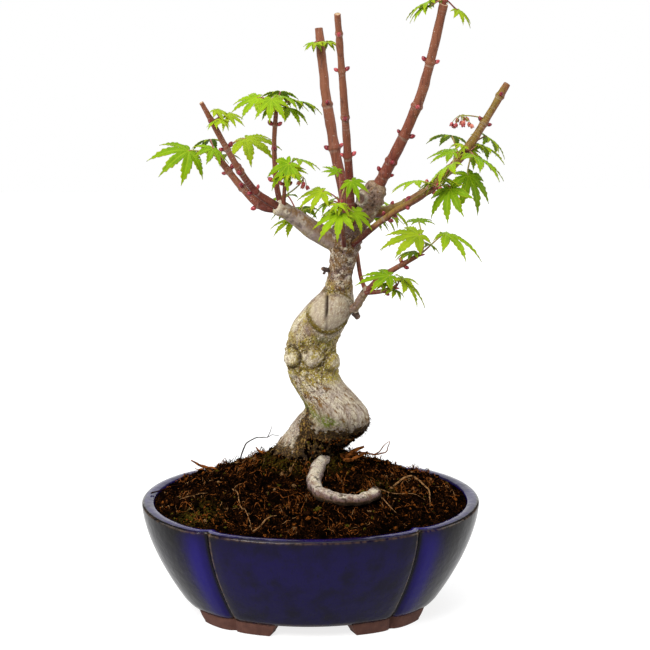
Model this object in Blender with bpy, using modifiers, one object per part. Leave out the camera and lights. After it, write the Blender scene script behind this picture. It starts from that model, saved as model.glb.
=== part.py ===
"""A young Japanese maple grown as a bonsai, in a lobed pot with a dark blue glaze.

Every size and place below is in millimetres and is turned into metres where a mesh is made.
The tree's routes are written from the middle of the pot, on the surface it stands on, with X to the
right, Y away from the front and Z up. The whole model is then moved by PLAN_SHIFT, so that its origin
lies under the middle of everything.
"""
import random

import bmesh
import bpy
import numpy as np
from mathutils import Vector
from mathutils.bvhtree import BVHTree

MM = 0.001
PLAN_SHIFT = (-8.8, 0.0, 0.0)
GAP = 0.3

# The pot: four lobes in plan that meet in a notch near each corner.
POT_HALF_WIDTH = 90.0
POT_HALF_DEPTH = 73.0
POT_CORNER = (57.5, 57.0)
NOTCH_DEPTH = 3.4
NOTCH_WIDTH = 4.0
POT_HEIGHT = 59.4
POT_FOOT = 0.75
WALL_BELLY = 1.65
WALL_LEVELS = (14.0, 23.0, 34.0, 46.0)
INSIDE_LEVELS = (40.0, 22.0)
RIM_WIDTH = 6.8
RIM_DROP = 1.6
RIM_ROUND = ((0.7, 0.4), (1.9, 0.0))
GLAZE_FOOT = 6.7
FLOOR_TOP = 12.0
DRAIN_RADIUS = 6.0
DRAIN_OFFSET = 24.0
LOBE_STEPS = 10

# The feet: one under each notch, following the outline on both sides of it.
FOOT_WIDTH = 9.5
FOOT_FRONT_REACH = 21.0
FOOT_SIDE_REACH = 17.0
FOOT_TAPER = 0.86
FOOT_INSET = 0.6
FOOT_SLACK = 0.5

# The soil: a mound that rises from the rim to the trunk.
SOIL_EDGE = 58.8
TRUNK_SEAT = 76.2
SEAT_RADIUS = 22.5
MOUND_ROUND = 1.08
# Clods: rings of the mound, as shares of the way from the seat to the rim, whose places are raised or
# sunk at random by up to this much.
CLOD_SHARES = (0.89, 0.78, 0.67, 0.56, 0.45, 0.34, 0.22)
CLOD_HEIGHT = 1.8

# The trunk: level rings (x, y, z of the middle, width, depth) from the flat cut at soil level to the fork.
TRUNK = [
    (-2.2, 15, 76.5, 38, 38), (-1.5, 15, 82.5, 35.5, 34.5), (8.8, 12, 94.3, 41, 30),
    (12, 9.5, 101, 38.5, 31.5), (13, 8, 108.5, 31.5, 30), (3.6, 10.5, 121.4, 27.5, 25.5),
    (1, 13, 131, 26, 26), (1, 13, 141, 25.5, 26), (5, 10.5, 153, 28, 26.5), (11.1, 9, 164, 24, 23.5),
    (14.8, 8, 173, 15, 16), (16.8, 8, 184.7, 12.8, 13.5), (18.4, 8, 196, 16.4, 16),
    (19, 8, 203, 17, 17), (19.5, 8, 208, 13.5, 13.5),
]
TRUNK_STEP = 4.5
TRUNK_SIDES = 16
FLARE_HEIGHT = 9.0
FLARE_LOBES = 5
FLARE_SWELL = 1.7
FLARE_TURN = 195.0
# Lumps on the bark: (x, y, z) of the middle, how wide each one is and how far it stands out.
TRUNK_LUMPS = [
    ((9.5, -4, 160.5), 10.5, 1.6), ((-10, 5, 134.5), 5.5, 3.2), ((3, 0, 137), 6, 1.6),
    ((13, 5, 134), 6, 2.4), ((-6, 6, 146), 6, 1.4), ((27, 2, 99), 9, 1.0),
]

# The limbs: what each is cut clear of (its carrier first), its diameter at the base and at the tip,
# its route, and where along it the pairs of buds stand.
LIMBS = {
    "knuckle_right": (("trunk",), 14.5, 11.0,
                      [(20, 8, 203), (26, 7, 211), (30.5, 6, 219), (33, 6, 223.5), (35.5, 6, 228.5)], ()),
    "bough_left": (("trunk", "knuckle_right"), 11.5, 7.6,
                   [(15, 9, 197), (6.5, 8, 201.5), (0, 6, 205.8), (-8.5, 4, 212.8), (-17, 2, 218)], ()),
    "shoot_left_low": (("bough_left",), 5.0, 3.4,
                       [(-16, 3, 216.5), (-26, 5, 218.5), (-36, 10, 227.5), (-45.5, 14, 239)],
                       (0.28, 0.58, 0.86)),
    "shoot_left_high": (("bough_left", "shoot_left_low"), 4.2, 2.4,
                        [(-17, 1, 218.5), (-29, -6, 228.5), (-40, -14, 246.5), (-55.5, -22, 277)],
                        (0.22, 0.42, 0.62, 0.85)),
    "shoot_left_upright": (("bough_left", "shoot_left_low"), 3.2, 2.2,
                           [(-15.5, 5, 219), (-17.5, 7, 230), (-18.5, 8, 250), (-17.5, 8, 266.5)],
                           (0.25, 0.6, 0.86)),
    "shoot_left_inner": (("bough_left", "shoot_left_upright"), 2.4, 1.9,
                         [(-14, 1, 218), (-13.5, -3, 227), (-13, -5, 234)], (0.8,)),
    "spur_left_back": (("bough_left",), 2.6, 1.8, [(-1.5, 6, 207), (-2.5, 14, 207.5), (-4.5, 22, 208)], ()),
    "shoot_middle_back": (("trunk", "knuckle_right"), 6.4, 4.4,
                          [(19.5, 9, 205), (18.5, 14, 221), (13.5, 20, 244), (8.5, 27.5, 277),
                           (5.5, 34, 306.5)],
                          (0.4, 0.62)),
    "shoot_middle_front": (("trunk", "knuckle_right"), 4.8, 3.3,
                           [(22, 3, 206), (20.7, 0, 226), (18, -10, 262), (13, -28, 322.5)],
                           (0.34, 0.52, 0.74, 0.91)),
    "shoot_right_high": (("knuckle_right",), 6.4, 4.4,
                         [(34, 6, 225), (42, 4, 241), (51, -1, 261.5), (59, -5.5, 285.5), (67.5, -12, 325)],
                         (0.18, 0.32, 0.46, 0.66, 0.83)),
    "bough_right": (("knuckle_right",), 5.6, 3.9,
                    [(29.5, 7, 213), (43, 14, 213.5), (57, 21, 218.7), (72, 28.5, 229.5), (86, 35.5, 244.2),
                     (106, 46, 274.5)], (0.2, 0.33, 0.5, 0.76)),
    "shoot_right_front": (("trunk", "knuckle_right"), 3.5, 2.8,
                          [(21, 5, 195), (25, -2, 201), (41, -14, 217), (62, -26, 232.5)], (0.5, 0.72)),
    "twig_front": (("trunk", "shoot_right_front"), 2.4, 1.7,
                   [(18, 3, 195), (17, -6, 203), (15.8, -12, 214), (15.2, -14.5, 221)], ()),
    "bough_back": (("trunk", "knuckle_right"), 5.0, 2.8,
                   [(19.5, 11, 202), (21, 28, 202.5), (24, 50, 203.5)], ()),
    "bough_low": (("trunk",), 4.6, 4.2,
                  [(18, 6, 161), (23.5, 2, 164), (26.5, -1, 169.5), (29.5, -4, 175)], ()),
    "shoot_low_right": (("bough_low",), 3.6, 2.4, [(29, -4, 173.5), (38, -11, 184), (54, -20, 196)], (0.75,)),
    "shoot_low_front": (("bough_low", "shoot_low_right"), 2.8, 2.3,
                        [(29, -5, 173.5), (36, -11.5, 175.5), (41.5, -17, 178.5)], (0.7,)),
    "twig_low_back": (("bough_low", "shoot_low_right"), 2.4, 1.6,
                      [(29, -4, 173.5), (26.5, 4, 180), (25.5, 16.5, 187), (25, 24, 193.5),
                       (28.5, 32, 203)], ()),
}
SMOOTH_STEP = 9.0
# The swollen joints of the old wood: the limb, the share of its length, and how wide the swelling is.
KNUCKLES = (("bough_left", 1.0, 3.5), ("knuckle_right", 0.72, 2.2))
KNUCKLE_SWELL = 1.2
BUD_LENGTH = 2.6
BUD_WIDTH = 1.5
BUD_LEAN = 0.75
BUD_DEPTH = 0.8

# The one thick root that lies on the soil, from the front of the trunk round to its broken end.
SURFACE_ROOT = ((7, 4, 81), (3.6, -7, 78), (1.3, -19, 74.5), (3.8, -30, 72.3), (10.5, -35.5, 71),
                (18.5, -37.5, 70.3), (27.5, -35, 70.3), (34, -25.5, 70.5))
ROOT_DIAMETERS = (8.0, 6.0)

# The leaf: seven lobes round the end of its stalk.
LOBE_ANGLES = (-122, -78, -37, 0, 37, 78, 122)
LOBE_LENGTHS = (0.40, 0.72, 0.93, 1.00, 0.93, 0.72, 0.40)
SINUS_REACH = 0.27
SHOULDER_AT = 0.52
SHOULDER_HALF_WIDTH = 0.15
BLADE_THICKNESS = 0.5
STALK_WIDTH = 1.1
STALK_BEND = 2.6
STEM_LENGTH = 2.4
STEM_RADIUS = 1.3
STEM_SHARE = 0.85
STEM_RISE = 0.3
TRIES_A_LEAF = 12
HUB_RADIUS = 5.0

# The foliage: each mass has its carrier, how far along that its stem stands, how far its leaves may
# reach from there, the heading of its far side, the leaves that the front view shows, and how many more
# the seeded rule adds on the far side. A leaf is (x, y, z) of its stalk's end, then heading, droop and
# roll in degrees, its reach, and its curl.
FOLIAGE = {
    "foliage_left": ("shoot_left_low", 1.0, 44, 100, [
        (-63, 12, 246, -126, 5, -30, 21.5, 0.42), (-50.5, 7, 248, -100, 12, -25, 13, 0.22),
        (-33, 24, 250, -47, 8, 12, 21, 0.30)], 2),
    "foliage_left_tip": ("shoot_left_high", 0.84, 24, 0, [(-48.5, -21, 273, -20, 15, 5, 9.5, 0.24)], 0),
    "foliage_left_top": ("shoot_left_upright", 1.0, 40, 90, [
        (-27, -3, 276, -170, 12, -20, 15, 0.30), (-20, -13, 277, -100, 30, 0, 14, 0.30),
        (-15.5, 7, 275.5, -10, 10, -10, 16, 0.24), (-11, 18, 267, -60, 10, -10, 14, 0.32)], 2),
    "foliage_left_inner": ("shoot_left_inner", 1.0, 34, 0, [
        (-11, -10, 243, -160, 40, -30, 16, 0.30), (-6.5, 0, 243.5, -5, 12, -5, 13, 0.20)], 0),
    "foliage_left_back": ("spur_left_back", 1.0, 34, 110, [(-8, 31, 205, -150, 15, 0, 15, 0.20)], 3),
    "foliage_centre": ("twig_front", 1.0, 32, -90, [
        (15, -23, 219, -140, 20, -12, 17, 0.30), (22, -15.5, 218.5, -10, 35, 25, 13, 0.16),
        (6, -13, 229, -160, 15, -15, 15, 0.30), (14, -6, 237.5, 150, -25, -10, 9, 0.10),
        (21, -11, 234, -60, 35, 15, 11, 0.26)], 0),
    "foliage_middle_tip": ("shoot_middle_back", 0.93, 22, -90, [(3, 27, 300, -95, 10, 0, 8, 0.26)], 0),
    "foliage_right_tip": ("shoot_right_high", 1.0, 24, 90, [
        (59, -12, 324, 175, 22, 0, 11, 0.30), (74.5, -11, 322, -20, 30, 0, 11, 0.30)], 1),
    "foliage_right": ("bough_right", 0.62, 46, -60, [
        (87, 18, 241, -45, 14, -20, 21, 0.24), (83, 13, 232, -50, 45, 0, 20, 0.34)], 0),
    "foliage_right_back": ("bough_right", 0.6, 34, 85, [], 4),
    "foliage_right_front": ("shoot_right_front", 1.0, 36, -90, [
        (71.5, -24, 245, -165, 22, 15, 18, 0.34), (73, -13, 249, 165, 0, -10, 14, 0.20),
        (71, -22, 232, -115, 45, 10, 18, 0.36)], 1),
    "foliage_back": ("bough_back", 1.0, 32, 90, [], 5),
    "foliage_low_back": ("twig_low_back", 1.0, 30, 50, [(34, 34, 206, -20, 20, 0, 12, 0.24)], 2),
    "foliage_low": ("shoot_low_right", 1.0, 42, 60, [
        (55, -25, 208.5, -168, 5, -18, 21, 0.16), (56, -9, 212, 85, -5, 0, 12, 0.15),
        (69, -22, 208, -15, 12, 0, 20.5, 0.36)], 1),
    "foliage_low_front": ("shoot_low_front", 1.0, 36, -90, [
        (40, -24.5, 187, -170, 5, -12, 17.5, 0.12), (46.5, -27, 185.5, -5, 38, 0, 18, 0.16)], 0),
}
CROWN_BOX = ((-89.0, -70.0, 150.0), (107.0, 70.0, 330.0))
# The small flowers hang in loose heads on thin stalks: carrier, place along it, and where the head is.
FLOWERS = {
    "blossom_right": ("bough_right", 0.8, (81, 38, 259)),
    "blossom_left": ("shoot_left_inner", 0.45, (-3.5, -7, 235)),
}
FLOWERS_IN_HEAD = 6
FLOWER_WIDTH = 2.6
FLOWER_STALK = 0.7
FLOWER_THREAD = 0.4
HEAD_HALF_WIDTHS = (5.5, 3.5)
HEAD_DROP = 2.5

BARK = ((0.46, 0.41, 0.33, 1.0), 0.85)
SHOOT_BARK = ((0.26, 0.09, 0.06, 1.0), 0.45)
LEAF_GREEN = ((0.28, 0.56, 0.04, 1.0), 0.5)
BLOSSOM_RED = ((0.55, 0.09, 0.08, 1.0), 0.5)
GLAZE_BLUE = ((0.012, 0.012, 0.11, 1.0), 0.12)
BARE_CLAY = ((0.20, 0.09, 0.06, 1.0), 0.9)
PEAT = ((0.035, 0.018, 0.010, 1.0), 0.95)

SHARP_ANGLE = 0.6
# The surface of every finished piece, by its name.
standing = {}


def material(name, finish):
    """A plain Principled finish of one colour and roughness."""
    made = bpy.data.materials.new(name)
    made.use_nodes = True
    shader = made.node_tree.nodes["Principled BSDF"]
    shader.inputs["Base Color"].default_value = finish[0]
    shader.inputs["Roughness"].default_value = finish[1]
    return made


def mesh_from(name, points, faces):
    """A mesh from points in millimetres."""
    mesh = bpy.data.meshes.new(name)
    mesh.from_pydata([tuple(MM * c for c in p) for p in points], [], [tuple(f) for f in faces])
    mesh.validate()
    return mesh


def loft(name, rings):
    """A closed mesh through rings of as many places each, with a flat cap at each end."""
    rings = np.asarray(rings, float)
    rows, count = rings.shape[:2]
    faces = []
    for below in range(0, (rows - 1) * count, count):
        for i in range(count):
            beside = (i + 1) % count
            faces.append((below + i, below + beside, below + count + beside))
            faces.append((below + i, below + count + beside, below + count + i))
    faces.append(range(count)[::-1])
    faces.append(range((rows - 1) * count, rows * count))
    return mesh_from(name, rings.reshape(-1, 3), faces)


def evaluated_mesh(piece, name, weld=False):
    """What the piece's modifiers make of it, as a mesh of its own, its loose caps welded on if asked."""
    bpy.context.view_layer.update()
    mesh = bpy.data.meshes.new_from_object(piece.evaluated_get(bpy.context.evaluated_depsgraph_get()))
    mesh.name = name
    work = bmesh.new()
    work.from_mesh(mesh)
    if weld:
        bmesh.ops.remove_doubles(work, verts=work.verts, dist=1e-6)
    bmesh.ops.triangulate(work, faces=work.faces)
    work.to_mesh(mesh)
    work.free()
    return mesh


def smooth_route(points, step=SMOOTH_STEP):
    """Stations along a Catmull-Rom curve through the points, any number of values to a point."""
    rows = np.array(points, float)
    rows = np.vstack([2 * rows[0] - rows[1], rows, 2 * rows[-1] - rows[-2]])
    out = []
    for i in range(1, len(rows) - 2):
        span = np.linalg.norm(rows[i + 1][:3] - rows[i][:3])
        count = max(1, round(span / step))
        for k in range(count):
            t = k / count
            p0, p1, p2, p3 = rows[i - 1:i + 3]
            out.append(0.5 * (2 * p1 + (p2 - p0) * t + (2 * p0 - 5 * p1 + 4 * p2 - p3) * t ** 2
                              + (3 * p1 - p0 - 3 * p2 + p3) * t ** 3))
    out.append(rows[-2])
    return np.array(out)


def tube(name, stations, sides):
    """A closed tube through stations of (x, y, z, radius), as a mesh."""
    curve = bpy.data.curves.new(name, "CURVE")
    curve.dimensions = "3D"
    curve.bevel_depth = MM
    curve.bevel_resolution = (sides - 4) // 2
    curve.use_fill_caps = True
    spline = curve.splines.new("POLY")
    spline.points.add(len(stations) - 1)
    for point, (x, y, z, radius) in zip(spline.points, stations):
        point.co = (MM * x, MM * y, MM * z, 1.0)
        point.radius = radius
    piece = bpy.data.objects.new(name, curve)
    tree.objects.link(piece)
    mesh = evaluated_mesh(piece, name, weld=True)
    bpy.data.objects.remove(piece)
    bpy.data.curves.remove(curve)
    return mesh


def fused(name, meshes):
    """One mesh: the union of all of these closed meshes."""
    pieces = bpy.data.collections.new("pieces_of_" + name)
    bpy.context.scene.collection.children.link(pieces)
    for mesh in meshes[1:]:
        pieces.objects.link(bpy.data.objects.new(mesh.name, mesh))
    body = bpy.data.objects.new(name + "_body", meshes[0])
    tree.objects.link(body)
    union = body.modifiers.new("union", "BOOLEAN")
    union.operation = "UNION"
    union.operand_type = "COLLECTION"
    union.collection = pieces
    union.solver = "MANIFOLD"
    mesh = evaluated_mesh(body, name)
    for piece in list(pieces.objects) + [body]:
        bpy.data.objects.remove(piece)
    bpy.data.collections.remove(pieces)
    return mesh


def cut(name, mesh, cutters=()):
    """The mesh less every cutter mesh, all its faces made triangles."""
    body = bpy.data.objects.new(name + "_body", mesh)
    tree.objects.link(body)
    for number, cutter_mesh in enumerate(cutters):
        cutter = bpy.data.objects.new("cutter_%d" % number, cutter_mesh)
        cutter.hide_render = True
        cutter.display_type = "WIRE"
        cutting.objects.link(cutter)
        modifier = body.modifiers.new("cut", "BOOLEAN")
        modifier.operation = "DIFFERENCE"
        modifier.solver = "EXACT"
        modifier.object = cutter
    result = evaluated_mesh(body, name)
    for piece in list(cutting.objects) + [body]:
        bpy.data.objects.remove(piece)
    return result


def largest_body(mesh):
    """The mesh with every loose scrap but its largest body removed."""
    work = bmesh.new()
    work.from_mesh(mesh)
    unseen = set(work.verts)
    bodies = []
    while unseen:
        start = unseen.pop()
        body, edge = {start}, [start]
        while edge:
            vertex = edge.pop()
            for link in vertex.link_edges:
                other = link.other_vert(vertex)
                if other in unseen:
                    unseen.discard(other)
                    body.add(other)
                    edge.append(other)
        bodies.append(body)
    bodies.sort(key=len)
    scraps = [vertex for body in bodies[:-1] for vertex in body]
    bmesh.ops.delete(work, geom=scraps, context="VERTS")
    work.to_mesh(mesh)
    work.free()
    return mesh


def finish_node(name, mesh, finish):
    """Put the finished mesh in the model with a material of its own, and remember where it stands."""
    largest_body(mesh)
    mesh.shade_smooth()
    mesh.set_sharp_from_angle(angle=SHARP_ANGLE)
    mesh.materials.clear()
    mesh.materials.append(material("finish_" + name, finish))
    made = bpy.data.objects.new(name, mesh)
    tree.objects.link(made)
    made.parent = plan_shift
    standing[name] = surface_of(mesh)


def surface_of(mesh, hub=None):
    """The mesh's faces in a search tree, for tests of touching, without those close to a stem's end."""
    faces = [face.vertices for face in mesh.polygons]
    if hub is not None:
        near = {v.index for v in mesh.vertices if (v.co - Vector(hub) * MM).length < HUB_RADIUS * MM}
        faces = [face for face in faces if not near.intersection(face)]
    return BVHTree.FromPolygons([v.co for v in mesh.vertices], faces)


# The pot and what fills it

def lobed_outline(steps=LOBE_STEPS):
    """The rim in plan: four arcs between the corners, drawn in towards the notch at each corner."""
    corner = np.array(POT_CORNER)
    fronts = []
    spans = ((corner[0], POT_HALF_DEPTH, corner[1]), (corner[1], POT_HALF_WIDTH, corner[0]))
    for half_chord, far, near in spans:
        sagitta = far - near
        radius = (half_chord ** 2 + sagitta ** 2) / (2 * sagitta)
        reach = np.arcsin(half_chord / radius)
        turn = reach * np.sin(np.linspace(-1, 1, steps + 1) * np.pi / 2)
        fronts.append(np.stack([radius * np.sin(turn), radius * (1 - np.cos(turn)) - far], 1))
    front, side = fronts
    right = np.stack([-side[:, 1], side[:, 0]], 1)
    ring = np.vstack([front[:-1], right[:-1], -front[:-1], -right[:-1]])
    away = np.linalg.norm(np.abs(ring) - corner, axis=1)
    inward = -np.sign(ring) * (NOTCH_DEPTH / np.sqrt(2) * np.exp(-(away / NOTCH_WIDTH) ** 2))[:, None]
    return ring + inward


def wall_scale(height):
    """How large the outline is at a height, against the rim: a belly that rounds in to the foot."""
    down = (POT_HEIGHT - height) / (POT_HEIGHT - GLAZE_FOOT)
    return 1 - (1 - POT_FOOT) * down ** WALL_BELLY


def inner_scale(height, thickness):
    """The outline's two scales where it stands this far inside the outer wall."""
    outer = wall_scale(height)
    return (outer - thickness / POT_HALF_WIDTH, outer - thickness / POT_HALF_DEPTH)


def outline_at(outline, scale, height):
    """The outline as a ring at a height, scaled in x and y."""
    return np.column_stack([outline * scale, np.full(len(outline), height)])


def drain_cutter(x):
    """The round bar that opens one drain through the floor."""
    work = bmesh.new()
    bmesh.ops.create_cone(work, cap_ends=True, segments=20, radius1=DRAIN_RADIUS * MM,
                          radius2=DRAIN_RADIUS * MM, depth=2 * FLOOR_TOP * MM)
    bmesh.ops.translate(work, verts=work.verts, vec=(x * MM, 0, FLOOR_TOP * MM))
    bar = bpy.data.meshes.new("drain")
    work.to_mesh(bar)
    work.free()
    return bar


def build_pot():
    """The glazed bowl, one piece from foot to rim and down the inside to the floor, with two drains."""
    outline = lobed_outline()
    rim_foot = POT_HEIGHT - RIM_DROP
    rings = [outline_at(outline, wall_scale(z), z) for z in (GLAZE_FOOT, *WALL_LEVELS, rim_foot)]
    for inset, drop in RIM_ROUND:
        rings.append(outline_at(outline, inner_scale(POT_HEIGHT, inset), POT_HEIGHT - drop))
    rings.append(outline_at(outline, inner_scale(POT_HEIGHT, RIM_WIDTH - RIM_DROP), POT_HEIGHT))
    for z in (rim_foot, *INSIDE_LEVELS, FLOOR_TOP):
        rings.append(outline_at(outline, inner_scale(z, RIM_WIDTH), z))
    drains = [drain_cutter(x) for x in (-DRAIN_OFFSET, DRAIN_OFFSET)]
    finish_node("pot", cut("pot", loft("pot", rings), drains), GLAZE_BLUE)


def build_feet():
    """Four bare clay feet, each a block that follows the outline round its notch."""
    notch_x, notch_y = (np.array(POT_CORNER) - NOTCH_DEPTH / np.sqrt(2)) * POT_FOOT
    ring = lobed_outline(LOBE_STEPS + 2) * POT_FOOT
    quarter = sorted((p for p in ring if p[0] > 0 > p[1]), key=lambda p: np.arctan2(p[1], p[0]))
    along = [(x, y) for x, y in quarter
             if (abs(x - notch_x) < FOOT_FRONT_REACH and y <= FOOT_SLACK - notch_y)
             or (abs(y + notch_y) < FOOT_SIDE_REACH and x >= notch_x - FOOT_SLACK)]
    outer = np.array(along) - np.sign(along) * FOOT_INSET
    inner = outer * (1 - FOOT_WIDTH / np.linalg.norm(outer, axis=1))[:, None]
    block = np.vstack([outer, inner[::-1]])
    middle = block.mean(axis=0)
    top = GLAZE_FOOT - GAP
    levels = ((0.0, FOOT_TAPER - 0.03), (0.8, FOOT_TAPER), (top * 0.55, (1 + FOOT_TAPER) / 2), (top, 1.0))
    rings = np.array([np.column_stack([middle + (block - middle) * scale, np.full(len(block), z)])
                      for z, scale in levels])
    for name, sx, sy in (("foot_front_right", 1, 1), ("foot_front_left", -1, 1),
                         ("foot_back_left", -1, -1), ("foot_back_right", 1, -1)):
        placed = rings * (sx, sy, 1)
        if sx * sy < 0:
            placed = placed[:, ::-1]
        finish_node(name, cut(name, loft(name, placed)), BARE_CLAY)


def build_soil(groove):
    """The soil: it fills the bowl and rises in a mound to the flat seat under the trunk."""
    outline = lobed_outline()
    rings = [outline_at(outline, inner_scale(z, RIM_WIDTH + GAP), z)
             for z in (FLOOR_TOP + GAP, *INSIDE_LEVELS[::-1], SOIL_EDGE)]
    seat_middle = np.array(TRUNK[0][:2])
    edge = rings[-1][:, :2]
    away = edge - seat_middle
    seat = seat_middle + away / np.linalg.norm(away, axis=1)[:, None] * SEAT_RADIUS
    draw = random.Random("clods")
    for share in (*CLOD_SHARES, 0.0):
        height = SOIL_EDGE + (TRUNK_SEAT - SOIL_EDGE) * (1 - share ** MOUND_ROUND)
        clods = [draw.uniform(-CLOD_HEIGHT, CLOD_HEIGHT) if share else 0.0 for _ in edge]
        rings.append(np.column_stack([seat + (edge - seat) * share, height + np.array(clods)]))
    finish_node("soil", cut("soil", loft("soil", rings), [groove]), PEAT)


# The trunk and the limbs

def grown(stations, clearance):
    """The stations of a cutter that keeps this clearance all round and past both ends."""
    wide = stations.copy()
    wide[:, 3] += clearance
    for end, beside in ((0, 1), (-1, -2)):
        outward = stations[end, :3] - stations[beside, :3]
        wide[end, :3] += outward / np.linalg.norm(outward) * clearance
    return wide


def trunk_rings():
    """The trunk's smooth rings: x, y, z, half the width and half the depth."""
    rings = smooth_route(TRUNK, TRUNK_STEP)
    rings[:, 3:] /= 2
    return rings


def trunk_skin(name, rings):
    """A loft through level rings, with the root flare at the foot and the lumps of the bark."""
    turn = np.linspace(0, 2 * np.pi, TRUNK_SIDES, endpoint=False)
    round_x, round_y = np.cos(turn), np.sin(turn)
    x, y, z, half_width, half_depth = (column[:, None] for column in rings.T)
    places = np.stack([x + half_width * round_x, y + half_depth * round_y, z + 0 * turn], axis=-1)
    low = np.clip(1 - (z - TRUNK[0][2]) / FLARE_HEIGHT, 0, 1) ** 2
    swell = low * FLARE_SWELL * (1 + np.cos(FLARE_LOBES * turn + np.radians(FLARE_TURN)))
    for middle, width, height in TRUNK_LUMPS:
        swell = swell + height * np.exp(-((places - middle) ** 2).sum(axis=-1) / width ** 2)
    places[..., 0] += swell * round_x
    places[..., 1] += swell * round_y
    return loft(name, places)


def build_trunk():
    """The trunk from its flat foot to the fork."""
    finish_node("trunk", trunk_skin("trunk", trunk_rings()), BARK)


def trunk_cutter():
    """The trunk grown by twice the gap, for it leans, its foot carried down through the soil."""
    rings = trunk_rings()
    rings[:, 3:] += GAP * 2
    rings[-1, 2] += GAP
    deeper = rings[0] - (0, 0, ROOT_DIAMETERS[0], 0, 0)
    return trunk_skin("trunk_cutter", np.vstack([deeper, rings]))


def limb_stations(name):
    """The limb's smooth route with its radius, which falls evenly from base to tip."""
    carriers, base, tip, route, buds = LIMBS[name]
    places = smooth_route(route)
    run = np.concatenate([[0], np.cumsum(np.linalg.norm(np.diff(places, axis=0), axis=1))])
    radius = base / 2 + (tip - base) / 2 * run / run[-1]
    for limb, share, width in KNUCKLES:
        if limb == name:
            radius += KNUCKLE_SWELL * np.exp(-((run - share * run[-1]) / width) ** 2)
    return np.column_stack([places, radius])


def point_along(name, share):
    """The place, direction and radius of a limb at a share of its length."""
    stations = limb_stations(name)
    steps = np.linalg.norm(np.diff(stations[:, :3], axis=0), axis=1)
    run = np.concatenate([[0], np.cumsum(steps)]) / steps.sum()
    place = np.array([np.interp(share, run, stations[:, k]) for k in range(4)])
    i = min(np.searchsorted(run, share), len(run) - 1)
    i = max(i, 1)
    direction = stations[i, :3] - stations[i - 1, :3]
    return place[:3], direction / np.linalg.norm(direction), place[3]


def bud(place, direction):
    """One small pointed bud: two three-sided cones base to base, leaning along its direction."""
    side = np.cross(direction, (0.3, 0.5, 0.8))
    side /= np.linalg.norm(side)
    other = np.cross(direction, side)
    half = BUD_WIDTH / 2
    middle = place + direction * BUD_LENGTH * 0.4
    turns = np.radians((0, 120, 240))
    waist = [middle + half * (np.cos(t) * side + np.sin(t) * other) for t in turns]
    points = [place - direction * BUD_DEPTH, *waist, place + direction * BUD_LENGTH]
    faces = [(0, 2, 1), (0, 3, 2), (0, 1, 3), (4, 1, 2), (4, 2, 3), (4, 3, 1)]
    return mesh_from("bud", points, faces)


def build_limb(name):
    """A tapering limb with its pairs of buds fused on, cut clear of what carries it."""
    carriers, base, tip, route, bud_shares = LIMBS[name]
    body = tube(name, limb_stations(name), 8 if base > 4.0 else 6)
    buds = []
    for number, share in enumerate(bud_shares):
        place, along, radius = point_along(name, share)
        across = np.cross(along, (0, -1, 0)) if number % 2 == 0 else np.cross(along, (1, 0, 0))
        across /= np.linalg.norm(across)
        for side in (-1, 1):
            lean = side * across + BUD_LEAN * along
            buds.append(bud(place + side * across * radius * 0.8, lean / np.linalg.norm(lean)))
    mesh = fused(name, [body] + buds) if buds else body
    cutters = [trunk_cutter() if other == "trunk" else tube("cutter", grown(limb_stations(other), GAP), 16)
               for other in carriers]
    mesh = cut(name, mesh, cutters)
    finish = BARK if name.startswith(("bough_left", "knuckle", "bough_low")) else SHOOT_BARK
    finish_node(name, mesh, finish)


def root_stations():
    """The surface root's smooth route with its radius."""
    places = smooth_route(SURFACE_ROOT, TRUNK_STEP)
    return np.column_stack([places, np.linspace(ROOT_DIAMETERS[0], ROOT_DIAMETERS[1], len(places)) / 2])


def build_surface_root():
    """The thick root, cut clear of the foot of the trunk."""
    mesh = tube("surface_root", root_stations(), 10)
    finish_node("surface_root", cut("surface_root", mesh, [trunk_cutter()]), BARK)


# The foliage

def leaf_axes(heading, droop, roll):
    """The leaf's forward, side and upper directions from its three angles in degrees."""
    heading, droop, roll = np.radians([heading, droop, roll])
    forward = np.array([np.cos(heading) * np.cos(droop), np.sin(heading) * np.cos(droop), -np.sin(droop)])
    level = np.array([-np.sin(heading), np.cos(heading), 0.0])
    upper = np.cross(forward, level)
    side = level * np.cos(roll) + upper * np.sin(roll)
    return forward, side, np.cross(forward, side)


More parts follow.
